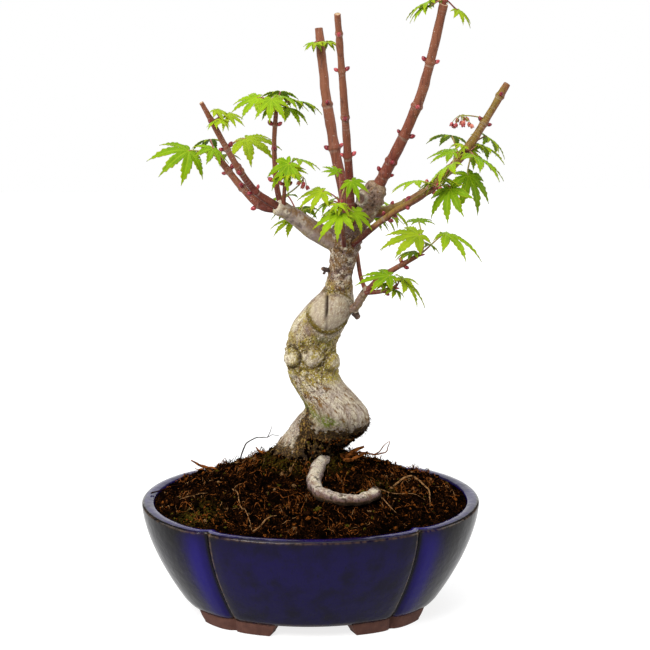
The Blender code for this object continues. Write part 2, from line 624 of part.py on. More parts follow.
def leaf(hub, place, heading, droop, roll, reach, curl):
    """One leaf and its stalk as one thin sheet: a narrow strip from the stem to the foot of the blade,
    then lobes round that foot, each falling below the leaf's plane by curl x reach at its tip."""
    forward, side, upper = leaf_axes(heading, droop, roll)
    place = np.array(place, float)
    angles = np.radians(LOBE_ANGLES)
    half = STALK_WIDTH / 2
    flat, faces = [(0.0, 0.0), (-half, -half), (-half, half)], [(0, 2, 1)]
    sinus = {}
    for k in range(len(angles) - 1):
        turn = (angles[k] + angles[k + 1]) / 2
        sinus[k] = len(flat)
        near = SINUS_REACH * reach * min(1.0, LOBE_LENGTHS[k] + LOBE_LENGTHS[k + 1] - 0.55)
        flat.append((near * np.cos(turn), near * np.sin(turn)))
    last = len(angles) - 1
    for k, (turn, share) in enumerate(zip(angles, LOBE_LENGTHS)):
        ahead = np.array([np.cos(turn), np.sin(turn)]) * share * reach
        across = np.array([-np.sin(turn), np.cos(turn)]) * share * reach
        tip = len(flat)
        flat.append(ahead)
        if k == 0:
            faces += [(0, 1, tip), (0, tip, sinus[0])]
        elif k == last:
            faces += [(0, sinus[k - 1], tip), (0, tip, 2)]
        else:
            flat.append(ahead * SHOULDER_AT - across * SHOULDER_HALF_WIDTH)
            flat.append(ahead * SHOULDER_AT + across * SHOULDER_HALF_WIDTH)
            faces += [(0, sinus[k - 1], tip + 1), (0, tip + 1, tip)]
            faces += [(0, tip, tip + 2), (0, tip + 2, sinus[k])]
    flat = np.array(flat)
    fall = curl * reach * (np.linalg.norm(flat, axis=1) / reach) ** 2
    points = place + flat[:, :1] * forward + flat[:, 1:] * side - fall[:, None] * upper
    bend = place - STALK_BEND * forward
    level = np.cross(bend - hub, upper)
    level /= np.linalg.norm(level)
    if level.dot(side) < 0:
        level = -level
    strip = [bend - half * side, bend + half * side, hub - half * level, hub + half * level]
    start = len(points)
    faces += [(1, 2, start + 1, start), (start, start + 1, start + 3, start + 2)]
    sheet = mesh_from("leaf", np.vstack([points, strip]), faces)
    piece = bpy.data.objects.new("leaf", sheet)
    tree.objects.link(piece)
    thick = piece.modifiers.new("thickness", "SOLIDIFY")
    thick.thickness = BLADE_THICKNESS * MM
    thick.offset = 0.0
    made = evaluated_mesh(piece, "leaf")
    bpy.data.objects.remove(piece)
    return made


def rod(name, start, end, radius):
    """A straight three-sided rod between two places."""
    work = bmesh.new()
    span = Vector(end - start)
    bmesh.ops.create_cone(work, cap_ends=True, segments=3, radius1=radius * MM, radius2=radius * MM,
                          depth=span.length * MM)
    turn = span.to_track_quat("Z", "Y")
    for vertex in work.verts:
        vertex.co = turn @ vertex.co + Vector((start + end) / 2) * MM
    mesh = bpy.data.meshes.new(name)
    work.to_mesh(mesh)
    work.free()
    return mesh


def touched(surface, others):
    """Whether this surface cuts into any of the others."""
    return any(surface.overlap(other) for other in others.values())


def far_side_rule(start, reach, facing, draw):
    """A leaf of the far side, drawn at random: its place, its angles, its size and its curl."""
    heading = facing + draw.uniform(-75, 75)
    out = draw.uniform(0.3, 0.5) * reach
    rise = draw.uniform(-0.2, 0.6)
    place = start + out * np.array([np.cos(np.radians(heading)), np.sin(np.radians(heading)), rise])
    return (*place, heading + draw.uniform(-25, 25), draw.uniform(5, 30), draw.uniform(-20, 20),
            draw.uniform(13, 17), draw.uniform(0.2, 0.35))


def leaves_the_space(mesh, node, reach):
    """Whether any of the leaf lies beyond its mass's reach or outside the crown's box."""
    places = np.array([v.co for v in mesh.vertices]) / MM
    low, high = CROWN_BOX
    outside = (places < low).any() or (places > high).any()
    return outside or np.linalg.norm(places - node, axis=1).max() > reach


def stem_at(limb, share, facing):
    """Where a mass's stem starts, its direction and its radius: on from a limb's tip, or out of its side."""
    place, along, radius = point_along(limb, share)
    if share == 1.0:
        return place + along * GAP, along, min(radius * STEM_SHARE, STEM_RADIUS)
    turn = np.radians(facing)
    away = np.array([np.cos(turn), np.sin(turn), STEM_RISE])
    away -= along * away.dot(along)
    away /= np.linalg.norm(away)
    return place + away * (radius + GAP), away, min(radius * STEM_SHARE, STEM_RADIUS)


def build_foliage(name):
    """One mass: a stem at its limb, then leaves on stalks, skipping any that leave its space or touch."""
    limb, share, reach, facing, shown_leaves, more = FOLIAGE[name]
    root, away, thick = stem_at(limb, share, facing)
    node = root + away * STEM_LENGTH
    middle = root + away * STEM_LENGTH / 2
    pieces = [tube("stem", [(*root, thick), (*middle, thick), (*node, thick * 0.8)], 6)]
    draw = random.Random(name)
    wanted = len(shown_leaves) + more
    leaves, tries = {}, 0
    while len(leaves) < wanted and tries < len(shown_leaves) + TRIES_A_LEAF * more:
        row = shown_leaves[tries] if tries < len(shown_leaves) else far_side_rule(node, reach, facing, draw)
        tries += 1
        hub = node - away * (0.5 + 0.13 * len(leaves))
        made = leaf(hub, row[:3], *row[3:])
        free = surface_of(made, hub)
        touches = touched(surface_of(made), standing) or touched(free, leaves)
        if touches or leaves_the_space(made, node, reach):
            continue
        leaves[tries] = free
        pieces.append(made)
    finish_node(name, fused(name, pieces), LEAF_GREEN)


def build_flowers(name):
    """A loose head of small flowers: a thin stalk from the limb, then one short stalk to each."""
    limb, share, head = FLOWERS[name]
    place, along, radius = point_along(limb, share)
    head = np.array(head, float)
    away = head - place
    away -= along * away.dot(along)
    away /= np.linalg.norm(away)
    root = place + away * (radius + GAP + FLOWER_STALK)
    draw = random.Random(name)
    pieces = [rod("stem", root, head, FLOWER_STALK)]
    for k in range(FLOWERS_IN_HEAD):
        turn = 2 * np.pi * k / FLOWERS_IN_HEAD + draw.uniform(-0.3, 0.3)
        out_x, out_y = HEAD_HALF_WIDTHS
        spot = head + (out_x * np.cos(turn), out_y * np.sin(turn), -HEAD_DROP - draw.uniform(0, 4))
        pieces.append(rod("thread", head - away, spot, FLOWER_THREAD))
        work = bmesh.new()
        bmesh.ops.create_icosphere(work, subdivisions=1, radius=FLOWER_WIDTH / 2 * MM)
        bmesh.ops.translate(work, verts=work.verts, vec=Vector(spot) * MM)
        ball = bpy.data.meshes.new("flower")
        work.to_mesh(ball)
        work.free()
        pieces.append(ball)
    finish_node(name, fused(name, pieces), BLOSSOM_RED)


for old in list(bpy.data.objects):
    bpy.data.objects.remove(old)
tree = bpy.data.collections.new("japanese_maple_bonsai")
cutting = bpy.data.collections.new("cutters")
for made_collection in (tree, cutting):
    bpy.context.scene.collection.children.link(made_collection)
plan_shift = bpy.data.objects.new("plan_shift", None)
tree.objects.link(plan_shift)

build_pot()
build_feet()
build_trunk()
build_surface_root()
build_soil(tube("groove", grown(root_stations(), GAP), 10))
for limb_name in LIMBS:
    build_limb(limb_name)
for mass_name in FOLIAGE:
    build_foliage(mass_name)
for head_name in FLOWERS:
    build_flowers(head_name)
plan_shift.location = [MM * c for c in PLAN_SHIFT]
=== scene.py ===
"""A young Japanese maple grown as a bonsai, in a lobed pot with a dark blue glaze.

Places are worked out in millimetres from the middle of the pot, on the surface that it stands on, with X
to the right, Y away from the front and Z up. They are made metres of the solids' own frame in each mesh.
"""
import random

import bpy
import numpy as np
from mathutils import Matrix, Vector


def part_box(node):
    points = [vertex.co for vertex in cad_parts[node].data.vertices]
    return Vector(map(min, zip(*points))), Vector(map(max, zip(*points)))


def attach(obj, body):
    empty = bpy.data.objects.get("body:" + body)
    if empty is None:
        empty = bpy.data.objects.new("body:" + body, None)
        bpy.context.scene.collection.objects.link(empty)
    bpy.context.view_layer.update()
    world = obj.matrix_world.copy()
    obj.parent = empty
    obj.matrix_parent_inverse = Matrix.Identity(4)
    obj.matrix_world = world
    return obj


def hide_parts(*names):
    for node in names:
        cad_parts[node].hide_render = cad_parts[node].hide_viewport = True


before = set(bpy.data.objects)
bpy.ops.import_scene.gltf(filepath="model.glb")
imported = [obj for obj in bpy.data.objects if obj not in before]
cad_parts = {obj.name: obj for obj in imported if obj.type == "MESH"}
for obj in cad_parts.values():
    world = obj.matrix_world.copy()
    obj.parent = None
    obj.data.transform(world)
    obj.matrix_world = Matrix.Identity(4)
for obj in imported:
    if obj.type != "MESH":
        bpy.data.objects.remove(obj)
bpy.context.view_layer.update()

# The pot. Stoneware, pressed in a mould as four lobes that meet in a notch near each corner, then dipped in
# a cobalt glaze. The glaze pools bright beside the notches and runs thin and brown on every edge.
MM = 0.001
POT_HALF_WIDTH = 90.0
POT_HALF_DEPTH = 73.0
POT_CORNER = (57.5, 57.0)
POT_HEIGHT = 59.4
POT_FOOT = 0.75
WALL_BELLY = 1.65
NOTCH_DEPTH = 3.4
NOTCH_WIDTH = 4.0
NOTCH_CRISP = 1.35
RIDGE_AT = 3.4
RIDGE_HEIGHT = 0.45
RIM_WIDTH = 6.8
RIM_ROUND = 1.7
GLAZE_FOOT = 6.7
FLOOR_TOP = 12.0
DRAIN_RADIUS = 6.0
DRAIN_OFFSET = 24.0
COBALT = (0.0070, 0.0030, 0.0560, 1)
COBALT_DEEP = (0.0045, 0.0022, 0.0230, 1)
COBALT_POOL = (0.0140, 0.0080, 0.1400, 1)
SEAM_AND_SHADE_BLACK = (0.0030, 0.0022, 0.0036, 1)
GLAZE_THIN = (0.115, 0.070, 0.036, 1)
POT_CLAY = (0.150, 0.062, 0.038, 1)

pot_low, pot_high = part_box("pot")
POT_MIDDLE = np.array([(pot_low.x + pot_high.x) / 2, (pot_low.y + pot_high.y) / 2, 0.0]) / MM


def grid_faces(rows, columns, ring=True):
    """The quads of a grid of places, row after row. In a ring, the last column joins the first."""
    row, column = np.meshgrid(np.arange(rows - 1), np.arange(columns if ring else columns - 1), indexing="ij")
    here = row * columns + column
    beside = row * columns + (column + 1) % columns
    return np.stack([here, beside, beside + columns, here + columns], axis=-1).reshape(-1, 4)


def tube_faces(tubes, rings, sides):
    """The faces of so many tubes laid one after another, each closed by a cap at both ends."""
    one = [list(face) for face in grid_faces(rings, sides)]
    one.append(list(range(sides))[::-1])
    one.append(list(range((rings - 1) * sides, rings * sides)))
    return [[tube * rings * sides + i for i in face] for tube in range(tubes) for face in one]


def bell(value, middle, width):
    """e^-((value - middle) / width)^2."""
    return np.exp(-((value - middle) / width) ** 2)


def new_piece(name, places, faces, finishes, marks=(), faces_finish=None):
    """A piece from places in millimetres, its faces and its finishes. Each mark is a number from 0 to 1 for
    each place, or for each row or the whole piece, that the finish reads by name."""
    places = np.asarray(places, float)
    marks = {mark: np.broadcast_to(values, places.shape[:-1]) for mark, values in dict(marks).items()}
    places = places.reshape(-1, 3)
    mesh = bpy.data.meshes.new(name)
    mesh.from_pydata(((places + POT_MIDDLE) * MM).tolist(), [], [list(map(int, face)) for face in faces])
    mesh.update()
    for finish in finishes:
        mesh.materials.append(finish)
    for name_of_mark, values in marks.items():
        mark = mesh.attributes.new(name_of_mark, "FLOAT", "POINT")
        mark.data.foreach_set("value", np.clip(values, 0, 1).astype(np.float32).ravel())
    if faces_finish is not None:
        mesh.polygons.foreach_set("material_index", np.asarray(faces_finish, np.int32))
    mesh.shade_smooth()
    piece = bpy.data.objects.new(name, mesh)
    bpy.context.scene.collection.objects.link(piece)
    return piece


def pot_outline(steps):
    """The rim in plan. Each lobe is an arc through the middle of its side and its two corners; near each
    corner a place moves in by depth x e^-(distance / width)^crispness, and out again on the ridge."""
    corner = np.array(POT_CORNER)
    wide, deep = corner
    sides = []
    for half_chord, far, near in ((wide, POT_HALF_DEPTH, deep), (deep, POT_HALF_WIDTH, wide)):
        sagitta = far - near
        radius = (half_chord ** 2 + sagitta ** 2) / (2 * sagitta)
        turn = np.arcsin(half_chord / radius) * np.sin(np.linspace(-1, 1, steps + 1) * np.pi / 2)
        sides.append(np.stack([radius * np.sin(turn), radius * (1 - np.cos(turn)) - far], 1))
    front, side = sides
    right = np.stack([-side[:, 1], side[:, 0]], 1)
    ring = np.vstack([front[:-1], right[:-1], -front[:-1], -right[:-1]])
    from_notch = np.linalg.norm(np.abs(ring) - corner, axis=1)
    inward = NOTCH_DEPTH * np.exp(-(from_notch / NOTCH_WIDTH) ** NOTCH_CRISP)
    inward -= RIDGE_HEIGHT * bell(from_notch, RIDGE_AT, 1.2)
    on_front = np.repeat([1.0, 0.0, 1.0, 0.0], steps)
    return ring - np.sign(ring) * (inward / np.sqrt(2))[:, None], from_notch, on_front


def pot_wall(z):
    """The outline's scale at a height: 1 at the rim, less (1 - foot) x (share of the way down)^belly."""
    return 1 - (1 - POT_FOOT) * ((POT_HEIGHT - z) / (POT_HEIGHT - GLAZE_FOOT)) ** WALL_BELLY


def pot_scales(z, inset):
    """The outline's scales in x and y, this far inside the outer wall at a height."""
    return np.array([pot_wall(z) - inset / POT_HALF_WIDTH, pot_wall(z) - inset / POT_HALF_DEPTH])


class Finish:
    """A plain Principled finish, and the few nodes that vary its colour and its relief."""

    def __init__(self, name, colour, roughness, specular=0.5):
        self.material = bpy.data.materials.new(name)
        self.material.use_nodes = True
        self.nodes = self.material.node_tree.nodes
        self.links = self.material.node_tree.links
        self.shader = self.nodes["Principled BSDF"]
        self.shader.inputs["Base Color"].default_value = colour
        self.shader.inputs["Roughness"].default_value = roughness
        self.shader.inputs["Specular IOR Level"].default_value = specular
        self.object_places = self.nodes.new("ShaderNodeTexCoord").outputs["Object"]

    def plug(self, value, socket):
        """Join a node's output to a socket, or set the socket to a plain value."""
        if isinstance(value, bpy.types.NodeSocket):
            self.links.new(value, socket)
        else:
            socket.default_value = value

    def noise(self, size, detail=3.0, stretch=(1, 1, 1), seed=0.0):
        """Noise whose grains are about this many millimetres across, times the stretch."""
        mapping = self.nodes.new("ShaderNodeMapping")
        mapping.inputs["Scale"].default_value = [1 / s for s in stretch]
        mapping.inputs["Location"].default_value = (seed, seed * 0.7, seed * 0.3)
        self.links.new(self.object_places, mapping.inputs["Vector"])
        node = self.nodes.new("ShaderNodeTexNoise")
        node.inputs["Scale"].default_value = 1 / (size * MM)
        node.inputs["Detail"].default_value = detail
        self.links.new(mapping.outputs["Vector"], node.inputs["Vector"])
        return node.outputs["Fac"]

    def between(self, value, low, high):
        """0 where the value is below low, 1 above high, and even between."""
        node = self.nodes.new("ShaderNodeMapRange")
        node.inputs["From Min"].default_value = low
        node.inputs["From Max"].default_value = high
        self.links.new(value, node.inputs["Value"])
        return node.outputs["Result"]

    def sum_of(self, operation, first, second):
        """The two values put together by one operation, kept between 0 and 1."""
        node = self.nodes.new("ShaderNodeMath")
        node.operation = operation
        node.use_clamp = True
        self.plug(first, node.inputs[0])
        self.plug(second, node.inputs[1])
        return node.outputs["Value"]

    def mark(self, name):
        """The value of one of the mesh's marks."""
        node = self.nodes.new("ShaderNodeAttribute")
        node.attribute_name = name
        return node.outputs["Fac"]

    def patches(self, low, high, *grain, seed=0.0, mark=None):
        """0 where noise of this size, detail and stretch is below low and 1 above high, times a mark."""
        share = self.between(self.noise(*grain, seed=seed), low, high)
        return self.sum_of("MULTIPLY", share, self.mark(mark)) if mark else share

    def blend(self, share, first, second):
        """The first colour, turning to the second as the share goes from 0 to 1."""
        node = self.nodes.new("ShaderNodeMix")
        node.data_type = "RGBA"
        self.plug(share, node.inputs["Factor"])
        self.plug(first, node.inputs["A"])
        self.plug(second, node.inputs["B"])
        return node.outputs["Result"]

    def colour(self, colour):
        """Use this colour on the surface."""
        self.plug(colour, self.shader.inputs["Base Color"])

    def relief(self, height, depth):
        """Raise the surface by the height's value times this many millimetres."""
        node = self.nodes.new("ShaderNodeBump")
        node.inputs["Distance"].default_value = depth * MM
        self.links.new(height, node.inputs["Height"])
        self.links.new(node.outputs["Normal"], self.shader.inputs["Normal"])


def mottled(name, colour, other, roughness, specular, *patches):
    """A finish whose colour turns to another in patches."""
    finish = Finish(name, colour, roughness, specular)
    finish.colour(finish.blend(finish.patches(*patches), colour, other))
    return finish


glaze = Finish("cobalt_glaze", COBALT, 0.10, 0.15)
blue = glaze.blend(glaze.patches(0.42, 0.68, 9.0, 4.0), COBALT, COBALT_DEEP)
blue = glaze.blend(glaze.patches(0.60, 0.78, 1.4, 3.0, (1, 1, 3), seed=4.0), blue, COBALT_DEEP)
blue = glaze.blend(glaze.mark("pooled"), blue, COBALT_POOL)
# Near black where the dark mark is: the seam in each notch, and painted shade beside the notches, under the
# rim, towards the foot and at the side lobes' far ends.
blue = glaze.blend(glaze.mark("dark"), blue, SEAM_AND_SHADE_BLACK)
blue = glaze.blend(glaze.patches(0.34, 0.62, 2.4, 4.0, seed=2.0, mark="thin"), blue, GLAZE_THIN)
glaze.colour(glaze.blend(glaze.mark("bare"), blue, POT_CLAY))
glaze.plug(glaze.between(glaze.mark("bare"), -0.16, 1.15), glaze.shader.inputs["Roughness"])
glaze.relief(glaze.noise(4.5, 2.0, seed=1.0), 0.22)

pot_ring, from_notch, on_front = pot_outline(64)
pot_heights = GLAZE_FOOT + (POT_HEIGHT - RIM_ROUND - GLAZE_FOOT) * np.linspace(0, 1, 34) ** 0.9
rim_turn = np.linspace(0, np.pi / 2, 7)[1:]
profile = [(1.1, GLAZE_FOOT, GLAZE_FOOT), (0.25, GLAZE_FOOT + 0.2, GLAZE_FOOT)]
profile += [(0.0, z, z) for z in pot_heights[1:]]
profile += [(RIM_ROUND * (1 - np.cos(t)), POT_HEIGHT - RIM_ROUND * (1 - np.sin(t)), POT_HEIGHT)
            for t in rim_turn]
flat_width = RIM_WIDTH - 2 * RIM_ROUND
profile += [(inset, POT_HEIGHT + 0.25 * np.sin(np.pi * (inset - RIM_ROUND) / flat_width), POT_HEIGHT)
            for inset in (2.4, 3.4, 4.4)]
profile += [(RIM_WIDTH - RIM_ROUND * (1 - np.sin(t)), POT_HEIGHT - RIM_ROUND * (1 - np.cos(t)), POT_HEIGHT)
            for t in np.concatenate([[0.0], rim_turn])]
profile += [(RIM_WIDTH, z, z) for z in (54, 50, 44, 36, 28, 20, FLOOR_TOP)]
inset, height, wall_height = np.array(profile).T
scales = pot_scales(wall_height, inset).T
inset, height = inset[:, None], height[:, None]
places = np.concatenate([pot_ring * scales[:, None], np.broadcast_to(
    height[..., None], (len(profile), len(pot_ring), 1))], axis=2)
# The outline is given at the rim; how far a place is from its notch shrinks with the wall.
apart = from_notch * scales[:, :1]
rise = (height - GLAZE_FOOT) / (POT_HEIGHT - GLAZE_FOOT)
outer = (inset < RIM_ROUND * 0.8) & (rise > 0)
on_rim = 0.6 * bell(height, POT_HEIGHT - 1.0, 0.45) * (inset < 1.2)
ridge = bell(apart, RIDGE_AT * 0.95, 0.55) * on_front * outer
foot_line = bell(height, GLAZE_FOOT + 0.5, 0.45) * outer
beside = bell(apart, 6.0, 5.5) * (1 - on_front) * outer
pooled = beside * (0.35 + 0.65 * np.sin(np.pi * np.clip(rise, 0, 1)) ** 0.6)
pooled += 0.5 * bell(apart, 0, 7) * (inset > 1.5)
# The dark mark: a thin seam line in each notch, and painted shade that darkens the front lobes near the
# notches, under the rim and towards the foot, and the side lobes towards their far ends and under the rim.
dark = on_front * outer * (
    0.9 * np.exp(-apart / 5.0) + 0.75 * np.exp(-(1 - rise) * 9) + 0.45 * np.exp(-rise * 3.2))
dark += (1 - on_front) * outer * (np.clip((apart - 9) / 14, 0, 0.92) + 0.8 * np.exp(-(1 - rise) * 14))
dark += bell(apart, 0, 0.9) * outer
bare = (height <= GLAZE_FOOT + 0.01) | ((inset >= RIM_WIDTH) & (height < 50))
pot = new_piece("pot_body", places, tube_faces(1, len(profile), len(pot_ring)), [glaze.material],
                {"thin": on_rim + 0.9 * ridge + foot_line, "pooled": pooled, "dark": dark, "bare": bare})
turn = np.linspace(0, 2 * np.pi, 32, endpoint=False)
for x in (-DRAIN_OFFSET, DRAIN_OFFSET):
    bar = np.stack([np.tile(x + DRAIN_RADIUS * np.cos(turn), 2), np.tile(DRAIN_RADIUS * np.sin(turn), 2),
                    np.repeat([0.0, 20.0], 32)], 1)
    drain = new_piece("drain", bar, tube_faces(1, 2, 32), [glaze.material])
    hole = pot.modifiers.new("drain", "BOOLEAN")
    hole.operation = "DIFFERENCE"
    hole.object = drain
    bpy.context.view_layer.update()
    drained = bpy.data.meshes.new_from_object(pot.evaluated_get(bpy.context.evaluated_depsgraph_get()))
    pot.modifiers.clear()
    pot.data = drained
    bpy.data.objects.remove(drain)
pot.data.set_sharp_from_angle(angle=0.9)
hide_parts("pot")
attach(pot, "root")

# The feet. Four blocks of the same clay, cut to follow the outline under each notch and left unglazed, so
# that they show its red-brown body, paler and darker in patches.
FOOT_WIDTH = 9.5
FOOT_FRONT_REACH = 21.0
FOOT_SIDE_REACH = 17.0
FOOT_TAPER = 0.86
FOOT_INSET = 0.6
CLAY = (0.072, 0.022, 0.013, 1)
CLAY_PALE = (0.115, 0.042, 0.026, 1)
CLAY_DARK = (0.045, 0.018, 0.013, 1)

clay = Finish("bare_clay", CLAY, 0.82)
body = clay.blend(clay.patches(0.35, 0.7, 5.0, 4.0), CLAY, CLAY_PALE)
clay.colour(clay.blend(clay.patches(0.62, 0.72, 0.8, 2.0, seed=3.0), body, CLAY_DARK))
clay.relief(clay.noise(0.7, 4.0), 0.16)

notch_x, notch_y = (np.array(POT_CORNER) - NOTCH_DEPTH / np.sqrt(2)) * POT_FOOT
foot_ring = pot_outline(40)[0] * POT_FOOT
quarter = foot_ring[(foot_ring[:, 0] > 0) & (foot_ring[:, 1] < 0)]
quarter = quarter[np.argsort(np.arctan2(quarter[:, 1], quarter[:, 0]))]
in_front = (np.abs(quarter[:, 0] - notch_x) < FOOT_FRONT_REACH) & (quarter[:, 1] <= 0.5 - notch_y)
at_side = (np.abs(quarter[:, 1] + notch_y) < FOOT_SIDE_REACH) & (quarter[:, 0] >= notch_x - 0.5)
outer = quarter[in_front | at_side]
outer = outer - np.sign(outer) * FOOT_INSET
inner = outer * (1 - FOOT_WIDTH / np.linalg.norm(outer, axis=1))[:, None]
block = np.vstack([outer, inner[::-1]])
middle = block.mean(axis=0)
foot_top = GLAZE_FOOT + 0.4
levels = [(0.0, FOOT_TAPER - 0.03), (0.35, FOOT_TAPER - 0.008), (1.0, FOOT_TAPER),
          (3.5, (1 + FOOT_TAPER) / 2), (foot_top - 0.4, 0.995), (foot_top, 0.985)]
rings = np.array([np.column_stack([middle + (block - middle) * scale, np.full(len(block), z)])
                  for z, scale in levels])
placed_feet = []
for turn_x, turn_y in ((1, 1), (-1, 1), (-1, -1), (1, -1)):
    placed = rings * (turn_x, turn_y, 1)
    placed_feet.append(placed[:, ::-1] if turn_x * turn_y < 0 else placed)
feet = new_piece("feet", placed_feet, tube_faces(4, len(levels), len(block)), [clay.material])
feet.data.set_sharp_from_angle(angle=0.7)
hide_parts("foot_front_right", "foot_front_left", "foot_back_left", "foot_back_right")
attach(feet, "root")

# The soil. Peat and grit heaped from the inner rim up to the trunk, dark and moist, broken into crumbs and
# full of chopped fibre, with a little moss and a few of the tree's own thin roots left lying on it.
SOIL_EDGE = 58.5
TRUNK_SEAT = 76.2
SEAT_MIDDLE = (-2.2, 15.0)
SEAT_RADIUS = 22.5
MOUND_ROUND = 1.08
# Clods: rings of the mound, as shares of the way from the seat to the rim, whose places are raised or
# sunk at random by up to this much, as in the solid.
CLOD_SHARES = (0.89, 0.78, 0.67, 0.56, 0.45, 0.34, 0.22)
CLOD_HEIGHT = 1.8
CLOD_STEPS = 10
LAP_UP = 5.0
LAP_FROM = 19.0
LAP_FADE = 4.0
# Crumbs and fibres start this far from the seat's middle and stop this far short of the rim.
SPREAD_FROM = 17.0
SPREAD_GAP = 1.5
# A fibre that would reach past this half width of the pot is left out.
FIBRE_LIMIT = 80.0
CRUMBS = 4200
FIBRES = 2300
TUFTS = 46
PEAT = (0.0030, 0.0014, 0.0008, 1)
PEAT_DEEP = (0.0010, 0.0006, 0.0004, 1)
PEAT_RUST = (0.170, 0.050, 0.008, 1)
PEAT_BROWN = (0.0165, 0.0058, 0.0021, 1)
MOSS = (0.080, 0.062, 0.007, 1)
FIBRE_TAN = (0.30, 0.155, 0.062, 1)
FIBRE_RUST = (0.270, 0.084, 0.0180, 1)


def rough(places, cell, seed):
    """Smooth noise from -1 to 1: a random value at each corner of cubes of this size, eased between."""
    repeat = 64
    lattice = np.random.default_rng(seed).uniform(-1, 1, (repeat, repeat, repeat))
    scaled = np.asarray(places, float) / cell
    corner = np.floor(scaled).astype(int)
    ease = scaled - corner
    ease = ease * ease * (3 - 2 * ease)
    total = 0.0
    for dx in (0, 1):
        for dy in (0, 1):
            for dz in (0, 1):
                share = np.abs(1 - np.array((dx, dy, dz)) - ease).prod(axis=-1)
                total = total + share * lattice[tuple(np.moveaxis((corner + (dx, dy, dz)) % repeat, -1, 0))]
    return total


soil_ring = pot_outline(60)[0] * pot_scales(SOIL_EDGE, RIM_WIDTH + 0.1)
seat = np.array(SEAT_MIDDLE)
ring_away = soil_ring - seat
ring_angle = np.arctan2(ring_away[:, 1], ring_away[:, 0])
ring_reach = np.linalg.norm(ring_away, axis=1)
clod_away = pot_outline(CLOD_STEPS)[0] * pot_scales(SOIL_EDGE, RIM_WIDTH) - seat
clod_angle = np.arctan2(clod_away[:, 1], clod_away[:, 0])
clod_order = np.argsort(clod_angle)
clod_draw = random.Random("clods")
clods = [[clod_draw.uniform(-CLOD_HEIGHT, CLOD_HEIGHT) for _ in clod_angle] for _ in CLOD_SHARES]
clods = np.vstack([0 * clod_angle, np.array(clods)[::-1][:, clod_order], 0 * clod_angle])


def clod_lift(angle, share):
    """How far the clods raise the mound: their heights, eased from one to the next round and along it."""
    full_turn = 2 * np.pi
    angles = [clod_angle.max() - full_turn, *clod_angle[clod_order], clod_angle.min() + full_turn]
    column = np.interp(angle, angles, np.arange(-1, len(clod_angle) + 1))
    row = np.interp(share, (0, *CLOD_SHARES[::-1], 1), np.arange(len(clods)))
    left, below = np.floor(column).astype(int), np.minimum(np.floor(row).astype(int), len(clods) - 2)
    across, up = (t * t * (3 - 2 * t) for t in (column - left, row - below))
    left, right = left % len(clod_angle), (left + 1) % len(clod_angle)
    return ((clods[below, left] * (1 - across) + clods[below, right] * across) * (1 - up)
            + (clods[below + 1, left] * (1 - across) + clods[below + 1, right] * across) * up)


def rim_reach(angle):
    """How far the soil's edge lies from the seat's middle in this direction."""
    return np.interp(angle, ring_angle, ring_reach, period=2 * np.pi)


def soil_level(x, y):
    """The mound's height without its crumbs: edge + rise x (1 - share^roundness), where share is how far a
    place lies from the seat towards the rim, plus the clods and a lap of e^-(distance / fade) on the trunk."""
    away_x, away_y = x - seat[0], y - seat[1]
    angle = np.arctan2(away_y, away_x)
    distance = np.hypot(away_x, away_y)
    share = np.clip((distance - SEAT_RADIUS) / (rim_reach(angle) - SEAT_RADIUS), 0, 1)
    lap = LAP_UP * np.exp(-np.clip(distance - LAP_FROM, 0, None) / LAP_FADE)
    level = SOIL_EDGE + (TRUNK_SEAT - SOIL_EDGE) * (1 - share ** MOUND_ROUND)
    return level + clod_lift(angle, share) + lap, share


def soil_top(x, y):
    """The mound's height with its crumbs: noise of three sizes, held back next to the rim."""
    level, share = soil_level(x, y)
    spot = np.stack([x, y, 0 * x], axis=-1)
    crumble = 0.4 * rough(spot, 9.0, 1) + 1.0 * rough(spot, 3.6, 2) + 0.8 * rough(spot, 1.7, 3)
    return level + crumble * np.clip((1.05 - share) * 6, 0.25, 1)


soil = Finish("peat", PEAT, 0.95, 0.0)
earth = soil.blend(soil.patches(0.45, 0.62, 3.2, 5.0), PEAT_DEEP, PEAT)
# Painted shade: brown and rust show only where the crumble stands high, so the hollows between stay near black.
earth = soil.blend(soil.patches(0.50, 0.62, 0.9, 5.0, seed=1.0, mark="high"), earth, PEAT_BROWN)
earth = soil.blend(soil.patches(0.60, 0.68, 0.7, 4.0, seed=2.0, mark="high"), earth, PEAT_RUST)
soil.colour(soil.blend(soil.patches(0.45, 0.6, 1.1, 4.0, seed=5.0, mark="mossy"), earth, MOSS))
soil.relief(soil.noise(0.8, 6.0), 1.0)

under_edge = pot_scales(SOIL_EDGE, RIM_WIDTH + 0.1)
rings = []
for z in (FLOOR_TOP + 0.2, 22, 34, 46, 54):
    plan = soil_ring * pot_scales(z, RIM_WIDTH + 0.1) / under_edge
    rings.append(np.column_stack([plan, np.full(len(plan), z)]))
for share in (np.linspace(1, 0, 130) ** 0.85)[:-1]:
    plan = seat + ring_away * share
    rings.append(np.column_stack([plan, soil_top(plan[:, 0], plan[:, 1])]))
rings = np.array(rings)
near_moss = bell(np.linalg.norm(rings[..., :2] - (-60.7, -33), axis=-1), 0, 9)
near_moss += 0.8 * bell(np.linalg.norm(rings[..., :2] - (38, -12), axis=-1), 0, 7)
near_moss += 0.6 * bell(np.linalg.norm(rings[..., :2] - seat, axis=-1), 22, 4)
# How high the crumble stands, read by the finish so that its hollows stay dark as painted shade.
high = rough(rings * (1, 1, 0), 3.6, 2) + 0.8 * rough(rings * (1, 1, 0), 1.7, 3)
mound = new_piece("soil_mound", rings, tube_faces(1, len(rings), len(soil_ring)), [soil.material],
                  {"mossy": 0.7 * near_moss, "high": 0.5 + 0.8 * high})
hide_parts("soil")
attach(mound, "root")

draw = np.random.default_rng(11)


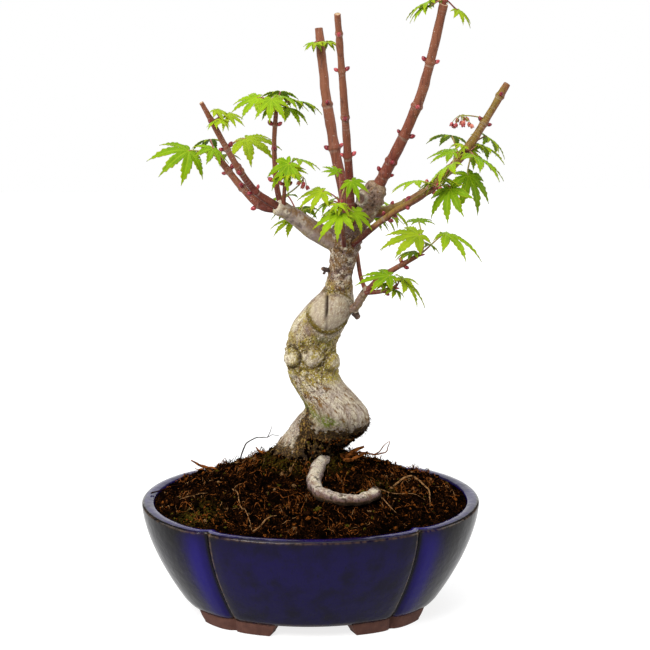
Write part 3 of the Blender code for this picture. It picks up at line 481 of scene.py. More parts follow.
def on_soil(count, spread):
    """Seeded places over the soil: even over the mound where spread is 0.5, and nearer the rim below it."""
    angle = draw.uniform(-np.pi, np.pi, count)
    room = rim_reach(angle) - SPREAD_FROM - SPREAD_GAP
    distance = SPREAD_FROM + room * draw.uniform(0, 1, count) ** spread
    x, y = seat[0] + distance * np.cos(angle), seat[1] + distance * np.sin(angle)
    return np.column_stack([x, y, soil_top(x, y)])


# A grain is a regular solid of twenty faces, whose corners are those of three golden rectangles.
golden = (1 + 5 ** 0.5) / 2
flat_corners = np.array([(-1, golden, 0), (1, golden, 0), (-1, -golden, 0), (1, -golden, 0)])
grain = np.vstack([np.roll(flat_corners, turns, axis=1) for turns in (0, 1, 2)])
grain = grain / np.linalg.norm(grain[0])
grain_faces = np.array([
    (0, 11, 5), (0, 5, 1), (0, 1, 7), (0, 7, 10), (0, 10, 11), (1, 5, 9), (5, 11, 4), (11, 10, 2),
    (10, 7, 6), (7, 1, 8), (3, 9, 4), (3, 4, 2), (3, 2, 6), (3, 6, 8), (3, 8, 9), (4, 9, 5),
    (2, 4, 11), (6, 2, 10), (8, 6, 7), (9, 8, 1)])
crumb_finishes = []
for name, colour in (("crumb_deep", PEAT_DEEP), ("crumb_brown", PEAT_BROWN), ("crumb_rust", PEAT_RUST),
                     ("crumb_tan", (0.20, 0.105, 0.042, 1)), ("crumb_moss", MOSS)):
    crumb = mottled(name, colour, PEAT, 0.95, 0.0, 0.42, 0.62, 0.6, 3.0)
    crumb.relief(crumb.noise(0.4, 3.0), 0.2)
    crumb_finishes.append(crumb.material)


def crumb_piece(name, spots, sizes, corners, kinds):
    """Crumbs of so many kinds at the spots: each is the grain, times its size and its corners' own shares."""
    faces = grain_faces + 12 * np.arange(len(spots))[:, None, None]
    return new_piece(name, spots[:, None] + grain * sizes * corners, faces.reshape(-1, 3), crumb_finishes,
                     faces_finish=np.repeat(kinds, 20))


spots = on_soil(CRUMBS, 0.55)
sizes = draw.uniform(0.35, 1.0, (CRUMBS, 1, 3))
sizes *= draw.choice([0.8, 1.2, 1.9], (CRUMBS, 1, 1), p=[0.6, 0.3, 0.1])
corners = draw.uniform(0.75, 1.25, (CRUMBS, 12, 1))
kinds = draw.choice(5, CRUMBS, p=[0.72, 0.105, 0.11, 0.025, 0.04])
crumbs = crumb_piece("soil_crumbs", spots, sizes, corners, kinds)
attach(crumbs, "root")


def carried(paths, radii, sides):
    """Tubes: a ring of so many sides carried along each path, as an array of tubes x rings x sides. The ring
    stays square to the path, and its first corner turns as little as it can from one ring to the next."""
    paths = np.asarray(paths, float)
    along = np.gradient(paths, axis=1)
    along /= np.maximum(np.linalg.norm(along, axis=-1, keepdims=True), 1e-9)
    first = np.cross(along[:, 0], (0.31, 0.86, 0.40))
    first /= np.linalg.norm(first, axis=-1, keepdims=True)
    across = [first]
    for ring in range(1, paths.shape[1]):
        turned = across[-1] - along[:, ring] * (across[-1] * along[:, ring]).sum(-1, keepdims=True)
        across.append(turned / np.linalg.norm(turned, axis=-1, keepdims=True))
    across = np.stack(across, axis=1)
    other = np.cross(along, across)
    turn = np.linspace(0, 2 * np.pi, sides, endpoint=False)[:, None]
    spokes = across[:, :, None] * np.cos(turn) + other[:, :, None] * np.sin(turn)
    return paths[:, :, None] + spokes * np.asarray(radii)[..., None, None], spokes, along


def tube_piece(name, paths, radii, sides, finishes, kinds=None):
    """A piece of closed tubes along the paths; a kind for each tube chooses one of the finishes."""
    places = carried(paths, radii, sides)[0]
    tubes, rings = places.shape[:2]
    faces_finish = None if kinds is None else np.repeat(kinds, (rings - 1) * sides + 2)
    return new_piece(name, places, tube_faces(tubes, rings, sides), finishes, faces_finish=faces_finish)


fibre_start = on_soil(FIBRES, 0.6)
tuft_spots = on_soil(TUFTS, 0.75)
in_tuft = draw.integers(0, TUFTS, FIBRES) * (draw.uniform(size=FIBRES) < 0.45) - 1
round_tuft = tuft_spots[in_tuft] + draw.normal(0, 1.3, (FIBRES, 3))
fibre_start = np.where(in_tuft[:, None] >= 0, round_tuft, fibre_start)
heading = draw.uniform(-np.pi, np.pi, FIBRES)
length = draw.uniform(3, 9, FIBRES) * draw.choice([0.7, 1.4], FIBRES, p=[0.8, 0.2])
bend = draw.uniform(-1.6, 1.6, FIBRES) * np.where(in_tuft >= 0, 2.2, 1.0)
lift = draw.choice([0.3, 1.2, 3.2], FIBRES, p=[0.55, 0.33, 0.12]) * draw.uniform(0.3, 1, FIBRES)
lift = np.where(in_tuft >= 0, draw.uniform(0.2, 1, FIBRES) ** 2 * 3.6, lift)
length = np.where(in_tuft >= 0, length * 0.55, length)
step = np.linspace(0, 1, 6)
swing = heading[:, None] + bend[:, None] * step
x = fibre_start[:, :1] + np.cumsum(np.cos(swing), axis=1) * length[:, None] / 6
y = fibre_start[:, 1:2] + np.cumsum(np.sin(swing), axis=1) * length[:, None] / 6
end_up = draw.uniform(size=(FIBRES, 1)) < 0.35
arch = lift[:, None] * np.where(end_up, step ** 1.5 * 1.2, np.sin(np.pi * step))
inside = np.hypot(x, y * POT_HALF_WIDTH / POT_HALF_DEPTH).max(axis=1) < FIBRE_LIMIT
z = soil_top(x, y) + 0.25 + arch
paths = np.stack([x, y, z], axis=-1)[inside]
thick = draw.uniform(0.10, 0.24, (len(paths), 1)) * np.array([1, 1, 0.95, 0.85, 0.7, 0.4])
fibre_colours = {"fibre_rust": FIBRE_RUST, "fibre_tan": FIBRE_TAN, "fibre_dark": PEAT_BROWN}
fibre_finishes = [mottled(name, colour, PEAT_BROWN, 0.85, 0.0, 0.4, 0.65, 1.5, 3.0).material
                  for name, colour in fibre_colours.items()]
kinds = draw.choice(3, len(paths), p=[0.44, 0.08, 0.48])
fibres = tube_piece("soil_fibres", paths, thick, 3, fibre_finishes, kinds)
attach(fibres, "root")


def smooth_route(points, step):
    """A Catmull-Rom curve through the points, cut about every step millimetres. Between two points it is
    half of 2 p1 + (p2 - p0) t + (2 p0 - 5 p1 + 4 p2 - p3) t^2 + (3 p1 - p0 - 3 p2 + p3) t^3."""
    rows = np.array(points, float)
    rows = np.vstack([2 * rows[0] - rows[1], rows, 2 * rows[-1] - rows[-2]])
    out = []
    for p0, p1, p2, p3 in zip(rows, rows[1:], rows[2:], rows[3:]):
        count = max(1, round(np.linalg.norm(p2[:3] - p1[:3]) / step))
        t = (np.arange(count) / count)[:, None]
        out.append(0.5 * (2 * p1 + (p2 - p0) * t + (2 * p0 - 5 * p1 + 4 * p2 - p3) * t ** 2
                          + (3 * p1 - p0 - 3 * p2 + p3) * t ** 3))
    out.append(rows[-2:-1])
    return np.vstack(out)


# Thin roots on the soil. Each has its greatest radius, which of the fibres' finishes it takes, and (x, y,
# height above the soil) along its way.
THIN_ROOTS = [
    (0.62, 1, [(44, -7.6, 0.5), (48.8, 0.2, 1.6), (53.9, 5.8, 2.2), (58.6, 2.8, 2.2), (62.4, -4.7, 1.8),
               (62.6, -14, 1.4), (62.2, -26, 0.4)]),
    (0.50, 1, [(-31.1, -55.9, 0.4), (-26.5, -52.7, 1.4), (-22.3, -49.1, 1.8), (-18.4, -46.2, 1.0)]),
    (0.34, 1, [(-41.5, -12.6, 0.6), (-38.7, -23.5, 1.2), (-37.2, -34.6, 1.4), (-33.6, -44.5, 1.0),
               (-31.6, -54.4, 0.4)]),
    (0.45, 1, [(33.8, -24.6, 1.0), (37.7, -29.3, 1.4), (43.5, -36.5, 0.6)]),
    (0.40, 2, [(-85.5, 8.5, 2.2), (-80, 12, 1.8), (-74, 14, 1.2), (-66, 17, 0.2)]),
    (0.42, 2, [(-38, 21, -1), (-36.7, 21, 5.6), (-34, 21, 11.4), (-28.3, 21, 11.9), (-22.7, 21, 8.3),
               (-16.5, 19, 7.5)]),
    (0.25, 2, [(-22.7, 21, 8.3), (-21.3, 21, 10), (-20.2, 21, 12.4)]),
    (2.00, 0, [(15.5, 9.5, -2), (20, 9, 2.5), (24, 9, 7.6), (28.8, 9, 11.6)]),
    (1.30, 0, [(17, 7, -1), (22, 7, 2.2), (27, 8, 6.2), (31, 9, 9.5)]),
    (0.62, 0, [(21.4, 12, 1.7), (25.2, 12, 5.4), (29, 12, 7.3), (35.2, 12, 8.2), (39.2, 12, 8.8),
               (41.3, 12, 10.2), (42.8, 12, 15.9)]),
    (0.42, 0, [(34.5, 12, 7.9), (37, 12, 9.6), (39.2, 12, 12.2), (42.4, 12, 15.5)]),
    (1.10, 0, [(-53, 33, -1), (-56.2, 34, 2.9), (-59.9, 34, 6.6), (-64.4, 34, 8.9)]),
    (0.60, 0, [(-50, 30, 0), (-56, 32, 2.5), (-62, 33, 4.4)]),
    (0.90, 0, [(-24, 20, 0.5), (-27, 22, 3.5), (-29, 21, 7)]),
    (0.34, 1, [(36, -18, 0.6), (45, -20, 1.3), (54, -16, 1.2), (60, -18, 0.5)]),
    (0.30, 1, [(-55, -8, 0.6), (-63, -10, 1.3), (-70, -6, 0.6)]),
    (0.35, 1, [(20, 48, 0.6), (34, 42, 1.5), (46, 36, 0.8)]),
    (0.30, 2, [(-24, 52, 0.5), (-36, 44, 1.6), (-50, 42, 0.6)]),
]
for number, (thickest, kind, route) in enumerate(THIN_ROOTS):
    way = smooth_route(route, 1.2)
    way[:, 2] += soil_level(way[:, 0], way[:, 1])[0]
    way += 0.35 * np.stack([rough(way, 2.2, seed + number) for seed in (40, 60, 80)], 1)
    radius = thickest * (1 - 0.65 * np.linspace(0, 1, len(way)) ** 1.5)
    radius *= 1 + 0.15 * rough(way, 1.3, 90 + number)
    root = tube_piece("thin_root_%02d" % number, [way], [radius], 6, [fibre_finishes[kind]])
    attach(root, "root")

# The trunk. A living maple stem: pale grey bark with fine cracks along it, an oval scar where a leader was
# sawn off and has half healed over, old knots below it, a ringed neck, and moss and fibre round its foot. Its
# colour also carries painted shade in its creases, cracks and hollows and under the elbow, and painted
# highlight on the tops of its lumps and on the scar's rim.
# Level rings: x, y and z of the middle, width and depth, from the flat foot to the fork.
TRUNK = [
    (-2.2, 15, 76.5, 38, 38), (-1.5, 15, 82.5, 35.5, 34.5), (8.8, 12, 94.3, 41, 30),
    (12, 9.5, 101, 38.5, 31.5), (13, 8, 108.5, 31.5, 30), (3.6, 10.5, 121.4, 27.5, 25.5),
    (1, 13, 131, 26, 26), (1, 13, 141, 25.5, 26), (5, 10.5, 153, 28, 26.5), (11.1, 9, 164, 24, 23.5),
    (14.8, 8, 173, 15, 16), (16.8, 8, 184.7, 12.8, 13.5), (18.4, 8, 196, 16.4, 16),
    (19, 8, 203, 17, 17), (19.5, 8, 208, 13.5, 13.5),
]
TRUNK_SIDES = 216
RING_STEP = 0.58
CRACK_SLANT = 0.012
BARK_RADIUS = 14.0
FLARE_HEIGHT = 9.0
FLARE_LOBES = 5
FLARE_SWELL = 1.7
FLARE_TURN = 195.0
# Lumps on the bark: (x, y, z) of the middle, how wide each one is and how far it stands out.
TRUNK_LUMPS = [
    ((9.5, -4, 160.5), 10.5, 1.6), ((-10, 5, 134.5), 5.5, 3.2), ((3, 0, 137), 6, 1.6),
    ((13, 5, 134), 6, 2.4), ((-6, 6, 146), 6, 1.4), ((27, 2, 99), 9, 1.0),
]
# The old knots, in the same form: each is a rounded boss with a ditch round it.
BOSSES = [
    ((-9.1, 5.0, 136.2), 4.9, 0.6), ((1.0, 0.0, 137.4), 5.0, 1.6), ((11.8, 4.5, 133.4), 4.9, 1.9),
    ((-8.0, 5.5, 127.8), 3.0, 1.3), ((-3.0, 1.5, 128.4), 2.3, 0.9), ((7.0, 0.8, 142.6), 2.4, 0.7),
    ((-1.5, 24.0, 133.0), 5.0, 1.6), ((12.0, 19.0, 140.0), 4.0, 1.4),
]
# Finer lumps and pits that only the bark has, in the same form.
BARK_LUMPS = [
    ((-6.8, 2.7, 134.7), 1.9, -1.9),
    ((19.8, 0.5, 194.6), 3.0, 1.3), ((20.3, 2.5, 176.9), 1.5, 0.9), ((24.0, 4.0, 160.5), 2.6, 2.0),
    ((-1.3, -1.2, 153.1), 4.0, -0.5), ((14.0, 1.2, 200.6), 4.0, -0.6), ((-8.5, 8.0, 125.5), 3.0, 0.6),
    ((19.0, 20.0, 150.0), 6.0, 1.2), ((-2.0, 24.0, 118.0), 5.0, 1.2), ((14.0, 15.0, 186.0), 2.5, 0.8),
    ((8.0, 1.5, 145.5), 3.0, -0.6),
]
KNOT = (-9.1, 5.0, 136.2)
KNOT_RADIUS = 4.3
SCAR = (10.6, 161.8)
SCAR_HALF = (11.7, 10.7)
# Creases in the bark: both ends, half the width and the depth.
CREASES = [
    ((-4.2, 2.2, 138.5), (-3.4, 1.6, 133.0), 0.7, 1.5), ((-3.0, 1.5, 132.2), (5.5, 0.3, 132.4), 0.9, 1.8),
    ((5.2, 0.9, 133.2), (8.4, 2.4, 137.6), 0.7, 1.3), ((-9.0, 6.5, 142.5), (-2.0, 0.0, 140.4), 0.8, 1.0),
    ((-2.0, 0.0, 140.4), (8.0, 1.0, 141.5), 0.8, 0.7), ((9.0, 2.5, 128.5), (16.0, 8.0, 129.0), 0.8, 1.0),
    ((10.2, 3.0, 197.4), (24.5, 2.8, 197.0), 0.55, 0.9),
]
# Lines of moss and of green along the bark: both ends, the width and the strength. Those in the second
# list stop at the scar.
MOSS_LINES = [
    ((-10.0, 6.0, 147.5), (8.0, 0.5, 141.5), 3.6, 0.9), ((-5.0, 4.0, 163.0), (-11.5, 9.0, 150.0), 1.6, 0.6),
    ((-1.5, 1.0, 163.0), (-5.5, 1.5, 151.0), 1.6, 0.6),
]
MOSS_ROUND_SCAR = [
    ((4.0, 1.5, 171.5), (-6.0, 5.0, 158.0), 2.0, 0.9), ((-2.0, 0.5, 157.0), (2.0, -1.5, 150.0), 1.8, 0.7),
]
GREEN_LINES = [
    ((-5, 6, 112), (9, -6.5, 102.5), 3.0, 1.3), ((-6, 8, 118), (-4, 5.5, 110), 2.0, 0.7),
    ((9, -6.5, 104.5), (18, -7.0, 101.5), 2.0, 0.6), ((4, -1, 148), (13, 1, 142), 3.4, 0.55),
]
BARK_CREAM = (0.47, 0.40, 0.30, 1)
BARK_LILAC = (0.36, 0.295, 0.260, 1)
BARK_PALE = (0.74, 0.67, 0.50, 1)
BARK_TAN = (0.20, 0.105, 0.038, 1)
SCAR_WOOD = (0.320, 0.240, 0.145, 1)
BARK_DARK = (0.035, 0.021, 0.012, 1)
BARK_MAUVE = (0.190, 0.120, 0.120, 1)
BARK_MOSS = (0.400, 0.310, 0.055, 1)
BARK_GREEN = (0.115, 0.150, 0.015, 1)
BARK_LINE = (0.15, 0.10, 0.060, 1)
BARK_STRAW = (0.30, 0.185, 0.035, 1)
BARK_FUZZ_AND_SHADE = (0.028, 0.016, 0.005, 1)
BARK_OLIVE = (0.130, 0.090, 0.010, 1)


def eased(value, low, high):
    """0 below low and 1 above high, with t^2 (3 - 2 t) between."""
    t = np.clip((value - low) / (high - low), 0, 1)
    return t * t * (3 - 2 * t)


def patch(places, cell, seed, low, high):
    """Rough noise, eased from 0 below low to 1 above high."""
    return eased(rough(places, cell, seed), low, high)


def zone(value, start, full, fading, gone):
    """1 between full and fading, eased to 0 at the start and where it is gone."""
    return eased(value, start, full) * (1 - eased(value, fading, gone))


def near_place(places, middle, width):
    """e^-(distance / width)^2 from a place."""
    return np.exp(-((places - middle) ** 2).sum(axis=-1) / width ** 2)


def near_line(places, start, end, width):
    """e^-(distance / width)^2 from the straight line between two places."""
    start, span = np.array(start, float), np.subtract(end, start)
    share = np.clip(((places - start) @ span) / (span @ span), 0, 1)
    return np.exp(-(((places - start - share[..., None] * span) ** 2).sum(-1)) / width ** 2)


def near_lines(places, lines):
    """The sum of the lines, each of which has both ends, its width and its strength."""
    return sum(strength * near_line(places, start, end, width) for start, end, width, strength in lines)


bark = Finish("old_bark", BARK_CREAM, 0.88, 0.12)
skin = bark.blend(bark.patches(0.40, 0.60, 4.0, 4.0), BARK_LILAC, BARK_CREAM)
for mark, colour in (("pale", BARK_PALE), ("wood", SCAR_WOOD), ("mauve", BARK_MAUVE), ("tan", BARK_TAN)):
    skin = bark.blend(bark.mark(mark), skin, colour)
for mark, colour in (("moss", BARK_MOSS), ("green", BARK_GREEN)):
    skin = bark.blend(bark.patches(0.32, 0.52, 1.3, 4.0, seed=3.0, mark=mark), skin, colour)
# Near black where the fuzz mark is: dark fuzz below the elbow, darkened further as painted shade under the
# elbow and under the surface root.
fuzz_share = bark.sum_of("MULTIPLY", bark.mark("fuzz_and_shade"), 0.6)
fuzz_grain = bark.sum_of("MULTIPLY", bark.noise(1.6, 4.0, seed=11.0), 0.6)
skin = bark.blend(bark.between(bark.sum_of("ADD", fuzz_share, fuzz_grain), 0.54, 0.62), skin, BARK_FUZZ_AND_SHADE)
skin = bark.blend(bark.mark("olive"), skin, BARK_OLIVE)
skin = bark.blend(bark.patches(0.56, 0.64, 1.0, seed=6.0, mark="pale_specks"), skin, BARK_PALE)
straw = bark.blend(bark.patches(0.45, 0.55, 0.7, seed=12.0), BARK_STRAW, BARK_TAN)
skin = bark.blend(bark.patches(0.50, 0.60, 1.1, 4.0, seed=9.0, mark="lit_fuzz"), skin, straw)
skin = bark.blend(bark.patches(0.58, 0.66, 1.2, seed=8.0, mark="specks"), skin, BARK_TAN)
skin = bark.blend(bark.patches(0.55, 0.64, 0.85, seed=4.0, mark="specks"), skin, BARK_DARK)
line_run = bark.patches(0.55, 0.63, 0.75, 3.0, (1, 1, 6), seed=14.0, mark="lines")
skin = bark.blend(bark.sum_of("MULTIPLY", line_run, 0.7), skin, BARK_LINE)
# The dark mark: mostly painted shade in creases, cracks, hollows and on undersides, and the dead snags' own
# dark wood.
bark.colour(bark.blend(bark.mark("dark"), skin, BARK_DARK))
speckled = bark.sum_of("ADD", bark.mark("specks"), 0.25)
bark.relief(bark.sum_of("MULTIPLY", bark.noise(0.8, 5.0, seed=7.0), speckled), 0.7)

rings = smooth_route(TRUNK, RING_STEP)
rings[:, 3:] /= 2
run = np.concatenate([[0], np.cumsum(np.linalg.norm(np.diff(rings[:, :3], axis=0), axis=1))])[:, None]
turn = np.linspace(0, 2 * np.pi, TRUNK_SIDES, endpoint=False)
round_x, round_y = np.cos(turn), np.sin(turn)
x, y, z, half_width, half_depth = (column[:, None] for column in rings.T)
places = np.stack([x + half_width * round_x, y + half_depth * round_y, z + 0 * turn], axis=-1)
in_front = eased(-round_y, 0.0, 0.45) + 0 * z
swell = np.clip(1 - (z - TRUNK[0][2]) / FLARE_HEIGHT, 0, 1) ** 2 * FLARE_SWELL * (
    1 + np.cos(FLARE_LOBES * turn + np.radians(FLARE_TURN)))
for middle, width, height in TRUNK_LUMPS:
    swell = swell + height * near_place(places, middle, width)
spot = places + np.stack([swell * round_x, swell * round_y, 0 * swell], axis=-1)
for middle, width, height in BARK_LUMPS:
    swell = swell + height * near_place(spot, middle, width)
# The bark unrolled: straight up along the run of the stem, with the cracks' slant as a slow turn.
slant = turn + CRACK_SLANT * run
straight = np.stack([BARK_RADIUS * np.cos(slant), BARK_RADIUS * np.sin(slant), run + 0 * slant], axis=-1)
elbow, knots, neck = zone(z, 96, 104, 120, 128), zone(z, 122, 129, 144, 152), zone(z, 168, 174, 198, 204)
foot, fork = 1 - eased(z, 88, 99), eased(z, 196, 199)

spot_x, spot_z = spot[..., 0], spot[..., 2]
across, up = (spot_x - SCAR[0]) / SCAR_HALF[0], (spot_z - SCAR[1]) / SCAR_HALF[1]
scar_way = np.hypot(across, up) + 0.05 * rough(spot, 7.0, 21)
scar_rim = bell(scar_way, 1.0, 0.075) * in_front
scar_edge = bell(scar_way, 0.88, 0.05) * in_front
scar_ditch = bell(scar_way, 1.12, 0.06) * in_front
scar_face = (1 - eased(scar_way, 0.84, 0.92)) * in_front
slit = bell(spot_x, 8.3 + 0.3 * rough(spot, 4.0, 22), 0.75) * in_front
slit_long = slit * zone(spot_z, 151, 153, 170.0, 171.2)
slit_deep = slit_long * eased(spot_z, 158.5, 163.0)
swell = swell + 0.75 * scar_rim - 0.45 * scar_edge - 0.7 * scar_ditch - 0.35 * slit_long - 1.3 * slit_deep
knot_way = np.linalg.norm(spot - KNOT, axis=-1)
knot_ring = bell(knot_way, KNOT_RADIUS, 0.75)
knot_ditch = bell(knot_way, KNOT_RADIUS + 1.5, 0.6)
swell = swell + 0.8 * knot_ring - 0.9 * knot_ditch
creased = 0.0
for start, end, width, depth in CREASES:
    line = near_line(spot, start, end, width)
    swell = swell - depth * line
    creased = np.maximum(creased, line * min(1.0, depth))
long_grain = rough(straight * (1, 1, 0.16), 1.5, 23)
long_grain_fine = rough(straight * (1, 1, 0.22), 0.75, 24)
cracks = bell(long_grain, 0, 0.10) * (0.45 + 0.55 * patch(spot, 4.0, 25, -0.4, 0.3))
fine_cracks = bell(long_grain_fine, 0, 0.14) * patch(spot, 5.0, 51, -0.2, 0.4)
ring_grain = rough(straight * (0.22, 0.22, 1), 1.5, 26)
lumpy = rough(spot, 4.2, 27) * 0.7 + rough(spot, 2.0, 28) * 0.55
pitted = rough(spot, 1.1, 29)
still = (1 - scar_face) * (1 - 0.5 * scar_rim)
lumps, ditches = 0.0, 0.0
for middle, width, height in BOSSES:
    boss_way = np.linalg.norm(spot - middle, axis=-1) / width + 0.20 * rough(spot, 2.8, 57)
    swell = swell + height * np.exp(-boss_way ** 4)
    lumps = np.maximum(lumps, np.exp(-boss_way ** 4))
    ditches = np.maximum(ditches, bell(boss_way, 1.22, 0.20))
ditches = ditches * (1 - lumps)
swell = swell - 0.8 * ditches
swell = swell + still * (elbow * (0.22 * long_grain_fine - 0.35 * cracks) + 0.10 * pitted
                         + (knots * (1 - 0.7 * lumps) + foot) * (0.75 * lumpy + 0.5 * pitted)
                         + neck * (0.55 * ring_grain + 0.40 * lumpy) + fork * (0.35 * lumpy))
swell = swell + 0.16 * rough(spot, 7.0, 30) + scar_face * 0.12 * rough(spot * (1, 1, 0.2), 1.6, 31)
places[..., 0] += swell * round_x
places[..., 1] += swell * round_y
places[..., 2] += 0.25 * still * knots * pitted

# Fuzz: the dark moss and fibre below the elbow and round the foot, whose near black is also the painted shade
# under the elbow; its higher part to the left turns straw where it is lit.
hanging = spot_z - 0.10 * (spot_x - 5) + 1.6 * rough(spot, 7.0, 52) + 1.6 * rough(spot, 2.0, 58)
below_elbow = 1 - eased(hanging, 90.0, 103.0)
wedge = np.maximum(near_line(spot, (-1.9, 1.4, 107.0), (-3.5, 0.1, 100.7), 3.6),
                   near_line(spot, (-3.5, 0.1, 100.7), (-2.5, -1.0, 92.2), 6.5))
left_foot = eased(-spot_x + 0.5 * (spot_z - 92) + rough(spot, 2.0, 60), 2.0, 10.0) * (1 - wedge)
fuzz_and_shade = np.maximum(below_elbow, wedge) * (1 - 0.9 * left_foot)
fuzz_and_shade = np.maximum(fuzz_and_shade, 1 - eased(spot_z + 2.5 * rough(spot, 3.0, 32), 80, 93))
lit_fuzz = fuzz_and_shade * eased(spot_z + 2.0 * rough(spot, 3.0, 59) + 0.4 * (8 - spot_x), 84, 98)
moss_places = rough(spot, 5.0, 33) + 0.6 * rough(spot, 2.2, 34)
edge_band = zone(spot_z, 120, 126, 134, 152)
moss = (edge_band * eased(moss_places, -0.9, -0.1) * (1 - 0.7 * lumps)
        + knots * eased(moss_places - lumpy, -0.2, 0.6)
        + 0.9 * eased(-round_x, 0.25, 0.8) * zone(z, 101, 110, 122, 132) * eased(moss_places, -0.6, 0.2)
        + 0.75 * neck * (1 - eased(z, 174, 180)) * eased(moss_places, -0.2, 0.5)
        + near_lines(spot, MOSS_LINES) + near_lines(spot, MOSS_ROUND_SCAR) * (1 - scar_face))
scar_line = bell(scar_way, 1.06, 0.065) * in_front
scar_lip = bell(scar_way, 0.95, 0.10) * in_front * eased(-up - 0.3 * across, -0.1, 0.6)
# Olive: moss along the scar's edge and under its lip, and in the ditches round the knots and the hollows
# between the lumps, where its dark olive is also painted shade.
olive = ((scar_line + 1.3 * scar_lip) * patch(spot, 1.5, 53, -1.0, -0.4)
         + 0.75 * knots * ditches + 0.45 * knots * (1 - lumps) * eased(-lumpy, 0.0, 0.5))
green = near_lines(spot, GREEN_LINES) + 0.4 * edge_band * eased(moss_places, 0.3, 0.9)
cream_band = near_line(spot, (-2.0, 3.0, 161.5), (-10.5, 8.5, 147.5), 2.8)
# Pale: the cream band, the knot's ring, the neck's grain, a knob at the fork and streaks on the elbow and left
# foot are pale bark; the pale on the tops of the lumps, strongest on the left, and on the scar's rim is painted
# highlight.
pale = (0.9 * cream_band + 0.7 * knot_ring + 0.35 * knots * eased(lumpy, 0.05, 0.6)
        + 0.80 * eased(-spot_x, 2, 6) * lumps + 0.35 * scar_rim
        + 0.20 * neck * eased(ring_grain + 0.4 * pitted, 0.3, 0.7)
        + 0.9 * near_place(spot, (19.8, 0.5, 194.6), 3.0)
        + elbow * (0.10 + 0.40 * eased(long_grain_fine + 0.7 * rough(spot, 6.0, 35), 0.0, 0.7))
        + 0.5 * left_foot * eased(long_grain_fine, -0.1, 0.5))
wood = 0.92 * scar_face * (0.58 - 0.10 * eased(across, -0.5, 0.4))
mauve = (fork * patch(spot, 4.0, 36, -0.6, 0.0)
         + 0.9 * neck * eased(-ring_grain - 0.3 * lumpy, -0.25, 0.2)
         + 1.2 * near_line(spot, (-2.2, -0.8, 156.5), (0.5, -1.2, 150.5), 2.4)
         + 0.35 * elbow * patch(spot, 7.0, 54, 0.1, 0.6) + near_place(spot, (24.6, 3.0, 159.3), 2.8))
flecks = patch(straight * (1, 1, 0.5), 1.4, 37, 0.38, 0.50) * patch(spot, 5.0, 38, -0.7, 0.0)
tan = (elbow * flecks + 0.35 * scar_face * patch(spot, 1.6, 39, 0.35, 0.6) * eased(across, -0.2, 0.5)
       + 0.8 * near_place(spot, (20.3, 2.5, 176.9), 1.2)
       + (0.5 * neck + 0.2 * fork) * eased(pitted + 0.5 * lumpy, 0.25, 0.6) + 0.5 * left_foot * flecks
       + 0.8 * left_foot * (1 - eased(spot_z, 84, 100)) * patch(spot, 1.7, 61, 0.0, 0.3)
       + (elbow + 0.5 * left_foot) * still * (0.65 * cracks + 0.4 * fine_cracks)
       + 0.35 * knots * (1 - lumps) + 0.65 * neck * patch(spot, 3.0, 56, -0.4, 0.2))
# Painted shade: the creases, the scar's slit, the cracks, the knot's ditch and the hollows among the knots, in
# the fuzz, on the neck and in the fork are darkened where shade falls.
dark = (creased + 0.9 * slit_deep + 0.5 * slit_long
        + (elbow + 0.5 * left_foot) * still * (0.30 * cracks + 0.10 * fine_cracks)
        + 0.9 * knot_ditch * patch(spot, 2.5, 40, -0.7, 0.0)
        + 0.6 * knots * eased(-lumpy - 0.5 * pitted, 0.5, 0.9) + 0.9 * fuzz_and_shade * eased(-lumpy - pitted, 0.0, 0.6)
        + 0.6 * neck * eased(-ring_grain - 0.4 * pitted, 0.35, 0.7) + 0.35 * fork * eased(-lumpy, 0.4, 0.8))
lines = (elbow + 0.8 * left_foot + 0.4 * edge_band) * (1 - fuzz_and_shade) * still
specks = 0.12 + 0.45 * knots + 0.45 * neck + 0.3 * fork + 0.25 * elbow + 0.9 * fuzz_and_shade + 0.6 * left_foot
specks = (specks * (1 - 0.8 * scar_face) * (1 - 0.6 * cream_band) * (1 - 0.7 * lumps)
          + 0.3 * scar_face * eased(across, 0.2, 0.9))
pale_specks = np.clip(0.45 * edge_band + 0.15 * neck + 0.35 * elbow + 0.4 * left_foot, 0, 1)
pale_specks = pale_specks * (1 - creased) * (1 - fuzz_and_shade)
# A low dome closes the top; over it, each mark keeps the value of the last ring.
DOME_HEIGHT = 3.0
top_middle = np.array([x[-1, 0], y[-1, 0], z[-1, 0]])
dome = [top_middle + (places[-1] - top_middle) * (np.cos(t), np.cos(t), 1) + (0, 0, DOME_HEIGHT * np.sin(t))
        for t in np.linspace(0, np.pi / 2, 7)[1:-1]]
places = np.concatenate([places, dome])
kept_rows = np.minimum(np.arange(len(places)), len(rings) - 1)
trunk_marks = {"pale": pale, "mauve": mauve, "tan": tan, "moss": moss, "green": green, "wood": wood,
               "lit_fuzz": lit_fuzz, "fuzz_and_shade": fuzz_and_shade, "olive": olive, "dark": dark, "specks": specks,
               "pale_specks": pale_specks, "lines": lines}
trunk = new_piece("trunk_bark", places, tube_faces(1, len(places), TRUNK_SIDES), [bark.material],
                  {name: mark[kept_rows] for name, mark in trunk_marks.items()})
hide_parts("trunk")
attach(trunk, "root")

# The surface root. A living root as thick as a pencil, washed bare, from the front of the trunk round to
# where it once broke off; its skin is smooth and pale, with dark blotches, lightened on its top as painted
# light and darkened mauve-brown on its lower half as painted shade.
SURFACE_ROOT = ((7, 4, 81), (3.6, -7, 78), (1.3, -19, 74.5), (3.8, -30, 72.3), (10.5, -35.5, 71),
                (18.5, -37.5, 70.3), (27.5, -35, 70.3), (34, -25.5, 70.5))
ROOT_DIAMETERS = (8.0, 6.0)
ROOT_SIDES = 56


